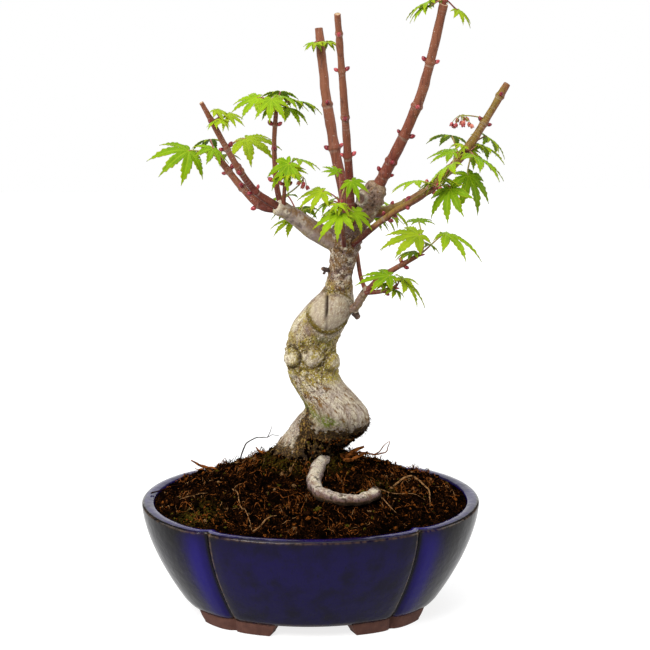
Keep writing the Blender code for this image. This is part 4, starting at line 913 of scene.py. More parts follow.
def stem(route, diameters, sides, step, close=0.5):
    """A limb's skin: rings square to a smooth route whose radius falls evenly, with a rounded end of this
    height. It returns the places as rings x sides, the spokes out of them, the run and the turn."""
    way = smooth_route(route, step)
    run = np.concatenate([[0], np.cumsum(np.linalg.norm(np.diff(way, axis=0), axis=1))])
    radius = diameters[0] / 2 + (diameters[1] - diameters[0]) / 2 * run / run[-1]
    ahead = (way[-1] - way[-2]) / np.linalg.norm(way[-1] - way[-2])
    turn = np.linspace(0, np.pi / 2, 5)[1:-1]
    way = np.vstack([way, way[-1] + ahead * close * np.sin(turn)[:, None]])
    radius = np.concatenate([radius, radius[-1] - close * (1 - np.cos(turn))])
    run = np.concatenate([run, run[-1] + close * np.sin(turn)])
    skin, spokes, along = carried([way], [radius], sides)
    return skin[0], spokes[0], run[:, None], np.linspace(0, 2 * np.pi, sides, endpoint=False)[None]


places, spokes, run, turn = stem(SURFACE_ROOT, ROOT_DIAMETERS, ROOT_SIDES, 0.6, 1.0)
broken = eased(run, run[-1] - 5.0, run[-1] - 0.5)
relief = 0.55 * rough(places, 3.4, 41) + 0.35 * rough(places, 1.5, 42) + broken * (
    0.9 * rough(places, 1.8, 43) + 0.6 * rough(places, 0.9, 44))
wrinkles = np.sin(run / 1.9 + 1.5 * rough(places, 9.0, 45))
relief = relief + 0.30 * wrinkles * patch(places, 7.0, 46, -0.2, 0.4)
relief = relief + 0.5 * bell(run, 24, 2.5) + 0.4 * bell(run, 47, 2.0)
places = places + spokes * relief[..., None]
low_side = eased(-spokes[..., 2], -0.25, 0.55)
lit_side = eased(spokes[..., 2], 0.0, 0.8)
grime_and_shade = rough(places, 2.4, 47) + 0.5 * rough(places, 1.0, 48)
# Painted light and shade: pale and pale specks lighten the top; mauve, tan, the near-black fuzz colour, dark
# and more specks gather on the lower half. Random blotches and the rough broken end are the root's own colour.
root_marks = {
    "pale": lit_side * patch(places, 4.0, 49, -0.3, 0.4) * 0.35,
    "mauve": eased(0.85 - spokes[..., 2] + 0.3 * grime_and_shade, 0.0, 0.5) * (0.45 + 0.55 * eased(run, 10, 24))
             + 0.9 * broken,
    "tan": 0.6 * low_side + 0.5 * eased(0.35 - spokes[..., 2], 0.0, 0.6) * eased(run, 8, 20)
           + 0.35 * eased(grime_and_shade, 0.3, 0.6) + 0.6 * broken,
    "fuzz_and_shade": low_side * 1.2 * eased(grime_and_shade, -0.6, 0.2),
    "dark": 0.85 * eased(-grime_and_shade, 0.30, 0.6) * (0.4 + 0.6 * eased(run, 10, 25))
            + broken * (0.4 + 0.5 * patch(places, 1.2, 50, -0.2, 0.2))
            + 0.42 * eased(0.75 - spokes[..., 2] + 0.3 * grime_and_shade, 0.0, 0.8) * eased(run, 2, 16)
            + 0.45 * low_side * eased(run, 10, 30),
    "specks": 0.65 + 0.4 * low_side + 0.6 * broken,
    "pale_specks": 0.5 * lit_side,
}
surface_root = new_piece("surface_root_skin", places, tube_faces(1, len(places), ROOT_SIDES), [bark.material],
                         root_marks)
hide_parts("surface_root")
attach(surface_root, "root")

# The moss and root hair on the foot of the trunk: short dry threads that stand out of the bark below the
# elbow and hold crumbs of soil.
FUZZ_THREADS = 2600
FUZZ_LENGTHS = (0.6, 1.9)
# From what height they grow, and how far up the highest one stands above it.
FUZZ_FROM = 77.5
FUZZ_RISE = 26.0
# How many crumbs of peat hang between the threads.
CLINGING_CRUMBS = 1700

draw = np.random.default_rng(12)
foot_rings = smooth_route(TRUNK, RING_STEP)
level = draw.uniform(0, 1, FUZZ_THREADS) ** 1.6 * FUZZ_RISE + FUZZ_FROM
angle = draw.uniform(-np.pi, np.pi, FUZZ_THREADS)
ring = [np.interp(level, foot_rings[:, 2], column) for column in foot_rings.T]
start = np.stack([ring[0] + ring[3] / 2 * np.cos(angle), ring[1] + ring[4] / 2 * np.sin(angle), level], 1)
bare_left = (start[:, 0] < -6) & (level > 84)
underside = level - 0.16 * (start[:, 0] - 5) < 98.5
start, angle = start[underside & ~bare_left], angle[underside & ~bare_left]
count = len(start)
outward = np.stack([np.cos(angle), np.sin(angle), draw.uniform(-0.7, 0.5, count)], 1)
outward += draw.uniform(-0.8, 0.8, (count, 3))
step = np.linspace(0, 1, 4)[None, :, None]
length = draw.uniform(*FUZZ_LENGTHS, (count, 1, 1))
paths = start[:, None] - outward[:, None] * 0.3 + outward[:, None] * length * step
paths[..., 2] -= (length[..., 0] * step[..., 0] ** 2) * draw.uniform(0, 0.6, (count, 1))
thick = draw.uniform(0.09, 0.22, (count, 1)) * np.array([1, 0.9, 0.75, 0.4])
fuzz_colours = {"fuzz_brown": (0.028, 0.014, 0.005, 1), "fuzz_olive": (0.070, 0.050, 0.007, 1),
                "fuzz_rust": (0.17, 0.070, 0.014, 1), "fuzz_straw": (0.22, 0.14, 0.045, 1)}
fuzz_finishes = [mottled(name, colour, PEAT_BROWN, 0.9, 0.0, 0.4, 0.65, 1.0, 3.0).material
                 for name, colour in fuzz_colours.items()]
kinds = draw.choice(4, count, p=[0.46, 0.24, 0.24, 0.06])
kinds = np.where((start[:, 2] < 90) & (draw.uniform(0, 1, count) < 0.75), 0, kinds)
fuzz_threads = tube_piece("trunk_fuzz", paths, thick, 3, fuzz_finishes, kinds)
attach(fuzz_threads, "root")
firm = np.flatnonzero(start[:, 2] - 0.10 * (start[:, 0] - 5) < np.where(start[:, 0] < -4, 84, 93))
chosen = draw.choice(firm, CLINGING_CRUMBS)
spots = start[chosen] + 0.2 * outward[chosen]
sizes = draw.uniform(0.30, 0.85, (CLINGING_CRUMBS, 1, 3)) * draw.choice([0.8, 1.5], (CLINGING_CRUMBS, 1, 1))
corners = draw.uniform(0.7, 1.3, (CLINGING_CRUMBS, 12, 1))
kinds = draw.choice(5, CLINGING_CRUMBS, p=[0.45, 0.20, 0.22, 0.05, 0.08])
kinds = np.where((spots[:, 2] < 90) & (draw.uniform(0, 1, CLINGING_CRUMBS) < 0.55), 0, kinds)
clinging_crumbs = crumb_piece("trunk_crumbs", spots, sizes, corners, kinds)
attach(clinging_crumbs, "root")

# The old wood: the pruned knuckle at the right of the fork, the thick bough to its left, the low bough and
# the dead snags. It is years old, and has the trunk's grey bark and cuts that healed into rolled rings.
# Each limb has its diameter at the base and at the tip, its route, how far it has kept the smooth red skin
# of a younger limb, and its healed cuts: the middle, the radius, and how far the ring stands out.
OLD_WOOD = {
    "knuckle_right": (
        14.5, 11.0, [(20, 8, 203), (26, 7, 211), (30.5, 6, 219), (33, 6, 223.5), (35.5, 6, 228.5)], 0.0,
        [((26.0, 0.5, 222.5), 3.6, 1.6), ((34.8, 0.8, 213.0), 2.2, 0.9)]),
    "bough_left": (
        11.5, 7.6, [(15, 9, 197), (6.5, 8, 201.5), (0, 6, 205.8), (-8.5, 4, 212.8), (-17, 2, 218)], 0.85,
        [((-11.6, -2.0, 216.0), 1.6, 0.6), ((-9.0, 0.5, 207.5), 1.2, 0.5)]),
    "bough_low": (
        4.6, 4.2, [(18, 6, 161), (23.5, 2, 164), (26.5, -1, 169.5), (29.5, -4, 175)], 0.2,
        [((24.8, 2.5, 160.5), 1.6, 0.8)]),
}
# The swollen joints of the old wood: the limb, the share of its length, and how wide the swelling is.
KNUCKLES = (("bough_left", 1.0, 3.5), ("knuckle_right", 0.72, 2.2))
KNUCKLE_SWELL = 1.2
# How much of a thick limb's length its rounded end takes up.
ROUNDED = 4.0
OLD_WOOD_SIDES = 84

for number, (name, (base, tip, route, smooth, healed_cuts)) in enumerate(OLD_WOOD.items()):
    places, spokes, run, turn = stem(route, (base, tip), OLD_WOOD_SIDES, 0.45, min(1.6, tip / 3))
    seed = 100 + 20 * number
    end = run[-1, 0]
    relief = 0 * places[..., 0]
    for limb, share, width in KNUCKLES:
        if limb == name:
            relief = relief + KNUCKLE_SWELL * bell(run, share * end, width)
    size = base / 11.0
    unrolled = np.stack([1.4 * np.cos(turn) + 0 * run, 1.4 * np.sin(turn) + 0 * run, run + 0 * turn], axis=-1)
    ring_grain = rough(unrolled, 1.3, seed)
    lumpy = rough(places, 3.0, seed + 1) + 0.5 * rough(places, 1.4, seed + 2)
    pitted = rough(places, 0.9, seed + 3)
    relief = relief + size * (1 - 0.7 * smooth) * (0.36 * lumpy + 0.34 * ring_grain) + 0.10 * pitted
    ring_way, hollow = 0.0, 0.0
    for middle, radius, height in healed_cuts:
        way = np.linalg.norm(places - middle, axis=-1)
        rolled = bell(way, radius, 0.28 * radius)
        inside = bell(way, 0, 0.62 * radius)
        relief = relief + height * rolled - 0.8 * height * inside
        ring_way = np.maximum(ring_way, rolled)
        hollow = np.maximum(hollow, inside)
    to_end = np.clip((run - end + ROUNDED) / (ROUNDED + 0.6), 0, 1) * (tip > 5)
    relief = relief - tip / 2 * (1 - np.sqrt(1 - to_end ** 2))
    places = places + spokes * relief[..., None]
    patches = rough(places, 4.0, seed + 4)
    tip_knuckle = bell(run, end, 3.5)
    limb_marks = {
        "pale": 0.50 * ring_way + 0.25 * eased(ring_grain, 0.3, 0.7) * (1 - smooth)
                + (0.95 * smooth + 0.05) * tip_knuckle * eased(patches, -0.7, 0.1),
        "mauve": hollow + ((0.45 + 0.40 * eased(patches, -0.4, 0.2)) * (1 - ring_way)
                           * (1 - 0.8 * tip_knuckle) * (1 - 0.35 * smooth)),
        "tan": (0.85 * smooth * eased(spokes[..., 2], -0.4, 0.3) * (1 - tip_knuckle)
                * eased(patches + pitted, -0.6, 0.1) + 0.5 * eased(pitted, 0.25, 0.6) * (1 - 0.7 * smooth)
                + (0.35 + 0.3 * tip_knuckle) * (1 - smooth) * (1 - ring_way)),
        # Dark: the hollows of the lumps and of the ring grain are darkened as painted shade.
        "dark": (0.8 * eased(-lumpy - 0.5 * pitted, 0.5, 0.95)
                 + 0.6 * eased(-ring_grain - 0.3 * pitted, 0.5, 0.8)) * (1 - 0.7 * smooth),
        "moss": 0.5 * eased(-spokes[..., 2], 0.2, 0.9) * eased(patches, -0.3, 0.4),
        "specks": 0.20 + 0.30 * (1 - smooth) + 0.2 * ring_way,
        "pale_specks": 0.18 - 0.1 * smooth,
    }
    faces = tube_faces(1, len(places), OLD_WOOD_SIDES)
    limb = new_piece(name + "_bark", places, faces, [bark.material], limb_marks)
    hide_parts(name)
    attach(limb, "root")
# The dead snags, each from its foot to its tip with both radii: a forked one on the neck, and one under the
# low bough.
SNAGS = [
    ((11.5, 7.0, 182.6), (5.6, 4.6, 184.2), 1.15, 1.25), ((8.3, 5.6, 183.4), (7.0, 4.6, 181.2), 0.8, 0.6),
    ((23.5, 4.5, 160.5), (25.4, 2.0, 157.6), 1.9, 1.5),
]
share = np.linspace(0, 1, 14)
snag_paths, snag_radii = [], []
for foot, top, thick, thin in SNAGS:
    path = np.array(foot) + np.subtract(top, foot) * share[:, None]
    path += 0.25 * rough(np.array(foot) + share[:, None] * 8, 1.5, 95)[:, None]
    snag_paths.append(path)
    snag_radii.append((thick + (thin - thick) * share) * (1 + 0.18 * rough(path, 1.1, 96))
                      * np.minimum(1, 1.25 - share ** 6))
snag_places, snag_spokes = carried(snag_paths, snag_radii, 24)[:2]
snag_places = snag_places + snag_spokes * 0.18 * rough(snag_places, 0.9, 97)[..., None]
snag_tip = eased(share, 0.8, 0.95)[:, None]
snags = new_piece("snags", snag_places, tube_faces(len(SNAGS), 14, 24), [bark.material], {
    "mauve": 0.9, "dark": 0.75 * (1 - snag_tip), "tan": 0.6 * snag_tip, "specks": 0.6, "pale_specks": 0.25})
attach(snags, "root")

# The shoots. Last year's growth and this year's: smooth and red-brown where the sun reaches them, olive
# on some, with a pale ring at each node and a pale sawn or pinched end where they were pruned.
# Each has its diameter at the base and at the tip, its route, and the shares of it at which buds stand.
SHOOTS = {
    "shoot_left_low": (5.0, 3.4, [(-16, 3, 216.5), (-26, 5, 218.5), (-36, 10, 227.5), (-45.5, 14, 239)],
                       (0.28, 0.58, 0.86)),
    "shoot_left_high": (4.2, 2.4, [(-17, 1, 218.5), (-29, -6, 228.5), (-40, -14, 246.5), (-55.5, -22, 277)],
                        (0.22, 0.42, 0.62, 0.85)),
    "shoot_left_upright": (3.2, 2.2, [(-15.5, 5, 219), (-17.5, 7, 230), (-18.5, 8, 250), (-17.5, 8, 266.5)],
                           (0.25, 0.6, 0.86)),
    "shoot_left_inner": (2.4, 1.9, [(-14, 1, 218), (-13.5, -3, 227), (-13, -5, 234)], (0.8,)),
    "spur_left_back": (2.6, 1.8, [(-1.5, 6, 207), (-2.5, 14, 207.5), (-4.5, 22, 208)], ()),
    "shoot_middle_back": (6.4, 4.4, [(19.5, 9, 205), (18.5, 14, 221), (13.5, 20, 244), (8.5, 27.5, 277),
                                     (5.5, 34, 306.5)], (0.4, 0.62)),
    "shoot_middle_front": (4.8, 3.3, [(22, 3, 206), (20.7, 0, 226), (18, -10, 262), (13, -28, 322.5)],
                           (0.34, 0.52, 0.74, 0.91)),
    "shoot_right_high": (6.4, 4.4, [(34, 6, 225), (42, 4, 241), (51, -1, 261.5), (59, -5.5, 285.5),
                                    (67.5, -12, 325)], (0.10, 0.17, 0.32, 0.48, 0.71)),
    "bough_right": (5.6, 3.9, [(29.5, 7, 213), (43, 14, 213.5), (57, 21, 218.7), (72, 28.5, 229.5),
                               (86, 35.5, 244.2), (106, 46, 274.5)], (0.14, 0.22, 0.36, 0.5, 0.78, 0.93)),
    "shoot_right_front": (3.5, 2.8, [(21, 5, 195), (25, -2, 201), (41, -14, 217), (62, -26, 232.5)],
                          (0.5, 0.72)),
    "twig_front": (2.4, 1.7, [(18, 3, 195), (17, -6, 203), (15.8, -12, 214), (15.2, -14.5, 221)], ()),
    "bough_back": (5.0, 2.8, [(19.5, 11, 202), (21, 28, 202.5), (24, 50, 203.5)], ()),
    "shoot_low_right": (3.6, 2.4, [(29, -4, 173.5), (38, -11, 184), (54, -20, 196)], (0.75,)),
    "shoot_low_front": (2.8, 2.3, [(29, -5, 173.5), (36, -11.5, 175.5), (41.5, -17, 178.5)], (0.7,)),
    "twig_low_back": (2.4, 1.6, [(29, -4, 173.5), (26.5, 4, 180), (25.5, 16.5, 187), (25, 24, 193.5),
                                 (28.5, 32, 203)], ()),
}
OLIVE_SHOOTS = ("shoot_right_front", "bough_right", "twig_front")
SHOOT_SIDES = 32
SHOOT_RED = (0.150, 0.028, 0.020, 1)
SHOOT_BROWN = (0.225, 0.082, 0.042, 1)
SHOOT_OLIVE = (0.225, 0.140, 0.026, 1)
SHOOT_GREY = (0.380, 0.290, 0.230, 1)
SHOOT_DARK = (0.036, 0.010, 0.010, 1)
SHOOT_END = (0.600, 0.440, 0.270, 1)

shoot = Finish("shoot_bark", SHOOT_RED, 0.45, 0.16)
browner = shoot.sum_of("ADD", shoot.patches(0.30, 1.0, 9.0, 3.0, (1, 1, 3)), shoot.mark("upper"))
skin = shoot.blend(browner, SHOOT_RED, SHOOT_BROWN)
skin = shoot.blend(shoot.mark("olive"), skin, SHOOT_OLIVE)
skin = shoot.blend(shoot.mark("ring"), skin, SHOOT_GREY)
streaks = shoot.patches(0.50, 0.72, 1.5, 3.0, (1, 1, 6), seed=5.0)
skin = shoot.blend(shoot.sum_of("MULTIPLY", streaks, 0.6), skin, SHOOT_DARK)
skin = shoot.blend(shoot.patches(0.66, 0.72, 0.7, 2.0, seed=2.0), skin, SHOOT_GREY)
shoot.colour(shoot.blend(shoot.mark("dark"), skin, SHOOT_DARK))
shoot.relief(shoot.noise(1.2, 4.0, (1, 1, 2)), 0.10)
sawn = mottled("sawn_end", SHOOT_END, BARK_TAN, 0.8, 0.5, 0.4, 0.6, 0.6, 3.0)


def limb_diameters(name):
    """A limb's two diameters and its route, from either list of limbs."""
    return (OLD_WOOD.get(name) or SHOOTS[name])[:3]


def point_along(name, share):
    """The place, direction and radius of a limb at a share of its length."""
    base, tip, route = limb_diameters(name)
    way = smooth_route(route, 1.0)
    steps = np.linalg.norm(np.diff(way, axis=0), axis=1)
    run = np.concatenate([[0], np.cumsum(steps)]) / steps.sum()
    place = np.array([np.interp(share, run, column) for column in way.T])
    behind = np.array([np.interp(share - 0.02, run, column) for column in way.T])
    ahead = np.array([np.interp(share + 0.02, run, column) for column in way.T])
    return place, (ahead - behind) / np.linalg.norm(ahead - behind), (base + (tip - base) * share) / 2


for number, (name, (base, tip, route, bud_shares)) in enumerate(SHOOTS.items()):
    places, spokes, run, turn = stem(route, (base, tip), SHOOT_SIDES, 0.6, 0.35)
    seed = 300 + 10 * number
    end = run[-1, 0]
    relief = 0.05 * base * rough(places, 6.0, seed) + 0.05 * rough(places, 1.5, seed + 1)
    ringed = 0 * relief
    wavy = 0.2 * rough(places, 2.0, seed + 2)
    for share in bud_shares:
        relief = relief + 0.09 * base * bell(run, share * end, 1.1)
        relief = relief - 0.10 * bell(run, share * end - 1.4, 0.35)
        for back in (0.5, 1.2, 1.9):
            ringed = ringed + 0.40 * bell(run + wavy, share * end - back, 0.14)
    wrinkled = patch(places * 0.5, 6.0, seed + 3, 0.15, 0.6) * bell(np.mod(run, 1.7), 0.8, 0.16)
    foot_marks = bell(run, 0, 4 + base)
    places = places + spokes * relief[..., None]
    olive = 0.0
    if name in OLIVE_SHOOTS:
        lit = eased(spokes[..., 2] - 0.35 * spokes[..., 1], -0.2, 0.7)
        olive = lit * patch(places, 9.0, seed + 4, -0.7, 0.1)
    shaded = eased(-spokes[..., 2], 0.3, 1.0)
    limb_marks = {"olive": olive, "ring": ringed + 0.35 * wrinkled,
                  "upper": 0.75 * eased(run / end, 0.15, 0.75),
                  "dark": 0.55 * shaded + 0.5 * foot_marks * patch(places, 1.6, seed + 5, 0, 0.5)}
    faces = tube_faces(1, len(places), SHOOT_SIDES)
    # The last face is the end, and it is sawn.
    limb = new_piece(name + "_skin", places, faces, [shoot.material, sawn.material], limb_marks,
                     [0] * (len(faces) - 1) + [1])
    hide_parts(name)
    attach(limb, "root")

# The buds. Pairs of small pointed buds at the nodes, each pair square to the last, shut in shiny red
# scales, and rosier where they have begun to swell.
BUD_LENGTH = 3.3
BUD_WIDTH = 2.3
BUD_LEAN = 0.60
BUD_SIDES = 10

bud_colours = {"bud_red": ((0.290, 0.018, 0.028, 1), (0.100, 0.008, 0.012, 1)),
               "bud_rose": ((0.500, 0.080, 0.085, 1), (0.250, 0.018, 0.026, 1))}
bud_finishes = [mottled(name, colour, deep, 0.35, 0.5, 0.42, 0.62, 0.9, 2.0).material
                for name, (colour, deep) in bud_colours.items()]
share = np.linspace(0, 1, 9)
bud_shape = np.sin(np.pi * share ** 1.05) ** 0.6
bud_shape[0], bud_shape[1], bud_shape[-1] = 0.42, 0.50, 0.03
draw = np.random.default_rng(13)
bud_paths, bud_radii = [], []
for name, (base, tip, route, bud_shares) in SHOOTS.items():
    for number, bud_share in enumerate(bud_shares):
        place, along, radius = point_along(name, bud_share)
        across = np.cross(along, (0, -1, 0)) if number % 2 == 0 else np.cross(along, (1, 0, 0))
        across /= np.linalg.norm(across)
        for side in (-1, 1):
            lean = side * across + BUD_LEAN * along
            lean /= np.linalg.norm(lean)
            size = draw.uniform(0.8, 1.15)
            start = place + side * across * radius * 0.75
            bend = along * (share ** 2 * 0.5)[:, None]
            bud_paths.append(start + lean * (BUD_LENGTH * size * share)[:, None] + bend)
            bud_radii.append(bud_shape * BUD_WIDTH / 2 * size)
kinds = draw.choice(2, len(bud_paths), p=[0.6, 0.4])
buds = tube_piece("buds", bud_paths, bud_radii, BUD_SIDES, bud_finishes, kinds)
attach(buds, "root")

# The foliage. Young spring leaves with seven slender toothed lobes, in pairs on red-green stalks from each
# growing tip: thin, bright and hanging a little. Every mass keeps the rule of its solid.
# A mass has its carrier, how far along its stem stands, its reach, the heading of its far side, the leaves
# that the front view shows, and which draws of the rule its solid kept. A leaf is (x, y, z) of its stalk's
# end, then heading, droop and roll in degrees, its reach, and its curl.
FOLIAGE = {
    "foliage_left": ("shoot_left_low", 1.0, 44, 100, [
        (-63, 12, 246, -126, 5, -30, 21.5, 0.42), (-50.5, 7, 248, -100, 12, -25, 13, 0.22),
        (-33, 24, 250, -47, 8, 12, 21, 0.30)], (0, 1)),
    "foliage_left_tip": ("shoot_left_high", 0.84, 24, 0, [(-48.5, -21, 273, -20, 15, 5, 9.5, 0.24)], ()),
    "foliage_left_top": ("shoot_left_upright", 1.0, 40, 90, [
        (-27, -3, 276, -170, 12, -20, 15, 0.30), (-20, -13, 277, -100, 30, 0, 14, 0.30),
        (-15.5, 7, 275.5, -10, 10, -10, 16, 0.24), (-11, 18, 267, -60, 10, -10, 14, 0.32)], (0, 3)),
    "foliage_left_inner": ("shoot_left_inner", 1.0, 34, 0, [
        (-11, -10, 243, -160, 40, -30, 16, 0.30), (-6.5, 0, 243.5, -5, 12, -5, 13, 0.20)], ()),
    "foliage_left_back": ("spur_left_back", 1.0, 34, 110, [(-8, 31, 205, -150, 15, 0, 15, 0.20)], (0, 1, 4)),
    "foliage_centre": ("twig_front", 1.0, 32, -90, [
        (15, -23, 219, -140, 20, -12, 17, 0.30), (22, -15.5, 218.5, -10, 35, 25, 13, 0.16),
        (6, -13, 229, -160, 15, -15, 15, 0.30), (14, -6, 237.5, 150, -25, -10, 9, 0.10),
        (21, -11, 234, -60, 35, 15, 11, 0.26)], ()),
    "foliage_middle_tip": ("shoot_middle_back", 0.93, 22, -90, [(3, 27, 300, -95, 10, 0, 8, 0.26)], ()),
    "foliage_right_tip": ("shoot_right_high", 1.0, 24, 90, [
        (59, -12, 324, 175, 22, 0, 11, 0.30), (74.5, -11, 322, -20, 30, 0, 11, 0.30)], (5,)),
    "foliage_right": ("bough_right", 0.62, 46, -60, [
        (87, 18, 241, -45, 14, -20, 21, 0.24), (83, 13, 232, -50, 45, 0, 20, 0.34)], ()),
    "foliage_right_back": ("bough_right", 0.6, 34, 85, [], (0, 1, 2, 7)),
    "foliage_right_front": ("shoot_right_front", 1.0, 36, -90, [
        (71.5, -24, 245, -165, 22, 15, 18, 0.34), (73, -13, 249, 165, 0, -10, 14, 0.20),
        (71, -22, 232, -115, 45, 10, 18, 0.36)], (0,)),
    "foliage_back": ("bough_back", 1.0, 32, 90, [], (6, 12, 14, 18, 48)),
    "foliage_low_back": ("twig_low_back", 1.0, 30, 50, [(34, 34, 206, -20, 20, 0, 12, 0.24)], (2, 8)),
    "foliage_low": ("shoot_low_right", 1.0, 42, 60, [
        (55, -25, 208.5, -168, 5, -18, 21, 0.16), (56, -9, 212, 85, -5, 0, 12, 0.15),
        (69, -22, 208, -15, 12, 0, 20.5, 0.36)], (0,)),
    "foliage_low_front": ("shoot_low_front", 1.0, 36, -90, [
        (40, -24.5, 187, -170, 5, -12, 17.5, 0.12), (46.5, -27, 185.5, -5, 38, 0, 18, 0.16)], ()),
}
LOBE_ANGLES = (-122, -78, -37, 0, 37, 78, 122)
LOBE_LENGTHS = (0.40, 0.72, 0.93, 1.00, 0.93, 0.72, 0.40)
SINUS_REACH = 0.36
LOBE_HALF_WIDTH = 0.200
TEETH = 6
TOOTH_DEPTH = 0.060
LOBE_ROWS = 30
LOBE_COLUMNS = 9
BLADE_THICKNESS = 0.22
STEM_LENGTH = 2.4
STEM_RADIUS = 1.3
STEM_SHARE = 0.85
STEM_RISE = 0.3
STALK_BEND = 2.6
YOUNG_LEAVES = 3
YOUNG_AWAY = (3.0, 7.0)
YOUNG_REACH = (6.0, 9.5)
LEAF_GREENS = ((0.165, 0.300, 0.004, 1), (0.215, 0.350, 0.006, 1), (0.150, 0.275, 0.003, 1),
               (0.250, 0.345, 0.008, 1))
VEIN_GREEN = (0.32, 0.41, 0.015, 1)
EDGE_GREEN = (0.36, 0.32, 0.012, 1)
STALK_GREEN = (0.300, 0.300, 0.050, 1)
STALK_RED = (0.260, 0.060, 0.040, 1)


def leaf_axes(heading, droop, roll):
    """The leaf's forward, side and upper directions from its three angles in degrees."""
    heading, droop, roll = np.radians([heading, droop, roll])
    forward = np.array([np.cos(heading) * np.cos(droop), np.sin(heading) * np.cos(droop), -np.sin(droop)])
    level = np.array([-np.sin(heading), np.cos(heading), 0.0])
    upper = np.cross(forward, level)
    side = level * np.cos(roll) + upper * np.sin(roll)
    return forward, side, np.cross(forward, side)


def lobe_width(share, first):
    """How far a lobe's edge stands from its midrib, against its length: it grows from the sinus to
    its widest at 0.45 and thins to a long point, (1 - t)^1.15 eased by the lobe's belly, with teeth that
    lean to the tip, each rising slowly and dropping back at once."""
    belly = np.sin(np.pi * np.clip(share, 0, 1) ** 0.80) ** 0.9 * (1 - share) ** 0.25
    plain = np.maximum(LOBE_HALF_WIDTH * belly, 0)
    tooth = np.mod(share * TEETH * 1.35 + first, 1.0)
    return plain + TOOTH_DEPTH * (tooth - 0.45) * zone(share, 0.34, 0.46, 0.84, 0.98)


def leaf_blade(place, heading, droop, roll, reach, curl, draw):
    """One leaf's places and veins: seven lobes round the foot of the blade. A place at (x, y) in its plane
    falls by curl x reach x (distance / reach)^2, less the fold: the blade rises from each midrib, by 0.28
    of the way across, to the edge. Up to the sinus each lobe ends on the line halfway to the next."""
    forward, side, upper = leaf_axes(heading, droop, roll)
    angles = np.radians(LOBE_ANGLES)
    share = np.linspace(0, 1, LOBE_ROWS)[:, None] ** 0.9
    column = np.linspace(-1, 1, LOBE_COLUMNS)[None]
    flat_places, veins, margins, heights = [], [], [], []
    jitter = np.radians(draw.uniform(-3.5, 3.5, 7))
    sizes = draw.uniform(0.94, 1.04, 7)
    falls = draw.uniform(-0.05, 0.05, 7)
    for k, (turn, length) in enumerate(zip(angles, LOBE_LENGTHS)):
        turn = turn + jitter[k]
        length = length * sizes[k] * reach
        along = share * length
        width = np.maximum(lobe_width(share, draw.uniform()) * length, 0)
        edges = []
        for other in (k - 1, k + 1):
            if 0 <= other < 7:
                half = abs(angles[other] + jitter[other] - turn) / 2
                sinus = SINUS_REACH * reach * min(1.0, LOBE_LENGTHS[k] + LOBE_LENGTHS[other] - 0.55)
                shared = along * np.tan(half)
                to_sinus = sinus * np.sin(half)
                inside = along <= sinus * np.cos(half)
                opening = eased(along / (sinus * np.cos(half)), 1.0, 2.2)
                edges.append(np.where(inside, shared, to_sinus * (1 - opening) + width * opening))
            else:
                edges.append(width * eased(share, -0.2, 0.15))
        across = np.where(column < 0, -edges[0] * -column, edges[1] * column)
        ripple = 0.010 * reach * np.sin(2 * np.pi * (share * 7.0 + np.abs(column) * 0.8)) * np.abs(column)
        fold = 0.28 * np.abs(across) - 0.10 * across ** 2 / reach * 4
        x = along * np.cos(turn) - across * np.sin(turn)
        y = along * np.sin(turn) + across * np.cos(turn)
        distance = np.hypot(x, y)
        fall = (curl + falls[k]) * reach * (distance / reach) ** 2 + 0.09 * reach * share ** 4
        flat_places.append(np.stack([x, y], -1))
        heights.append(fold + ripple * eased(share, 0.1, 0.4) - fall)
        side_vein = bell(np.mod(share * 8.5 - 0.9 * np.abs(column), 1.0), 0.5, 0.12)
        veins.append(np.maximum(bell(across, 0, 0.011 * reach) * (1 - 0.6 * share),
                                0.45 * side_vein * (1 - np.abs(column)) ** 0.5 * (1 - share)))
        margins.append(eased(np.abs(column) + 0.9 * share, 1.1, 1.7))
    flat_places, heights = np.array(flat_places), np.array(heights)
    places = (np.array(place, float) + flat_places[..., :1] * forward + flat_places[..., 1:] * side
              + heights[..., None] * upper)
    return places.reshape(-1, 3), np.array(veins).ravel(), np.array(margins).ravel()


def far_side_rule(start, reach, facing, draw):
    """A leaf of the far side, drawn at random: its place, its angles, its size and its curl."""
    heading = facing + draw.uniform(-75, 75)
    out = draw.uniform(0.3, 0.5) * reach
    rise = draw.uniform(-0.2, 0.6)
    place = start + out * np.array([np.cos(np.radians(heading)), np.sin(np.radians(heading)), rise])
    return (*place, heading + draw.uniform(-25, 25), draw.uniform(5, 30), draw.uniform(-20, 20),
            draw.uniform(13, 17), draw.uniform(0.2, 0.35))


def stem_at(limb, share, facing):
    """Where a mass's stem starts, its direction and its radius: on from a limb's tip, or out of its side."""
    place, along, radius = point_along(limb, share)
    if share == 1.0:
        return place, along, min(radius * STEM_SHARE, STEM_RADIUS)
    turn = np.radians(facing)
    away = np.array([np.cos(turn), np.sin(turn), STEM_RISE])
    away -= along * away.dot(along)
    away /= np.linalg.norm(away)
    return place + away * radius, away, min(radius * STEM_SHARE, STEM_RADIUS)


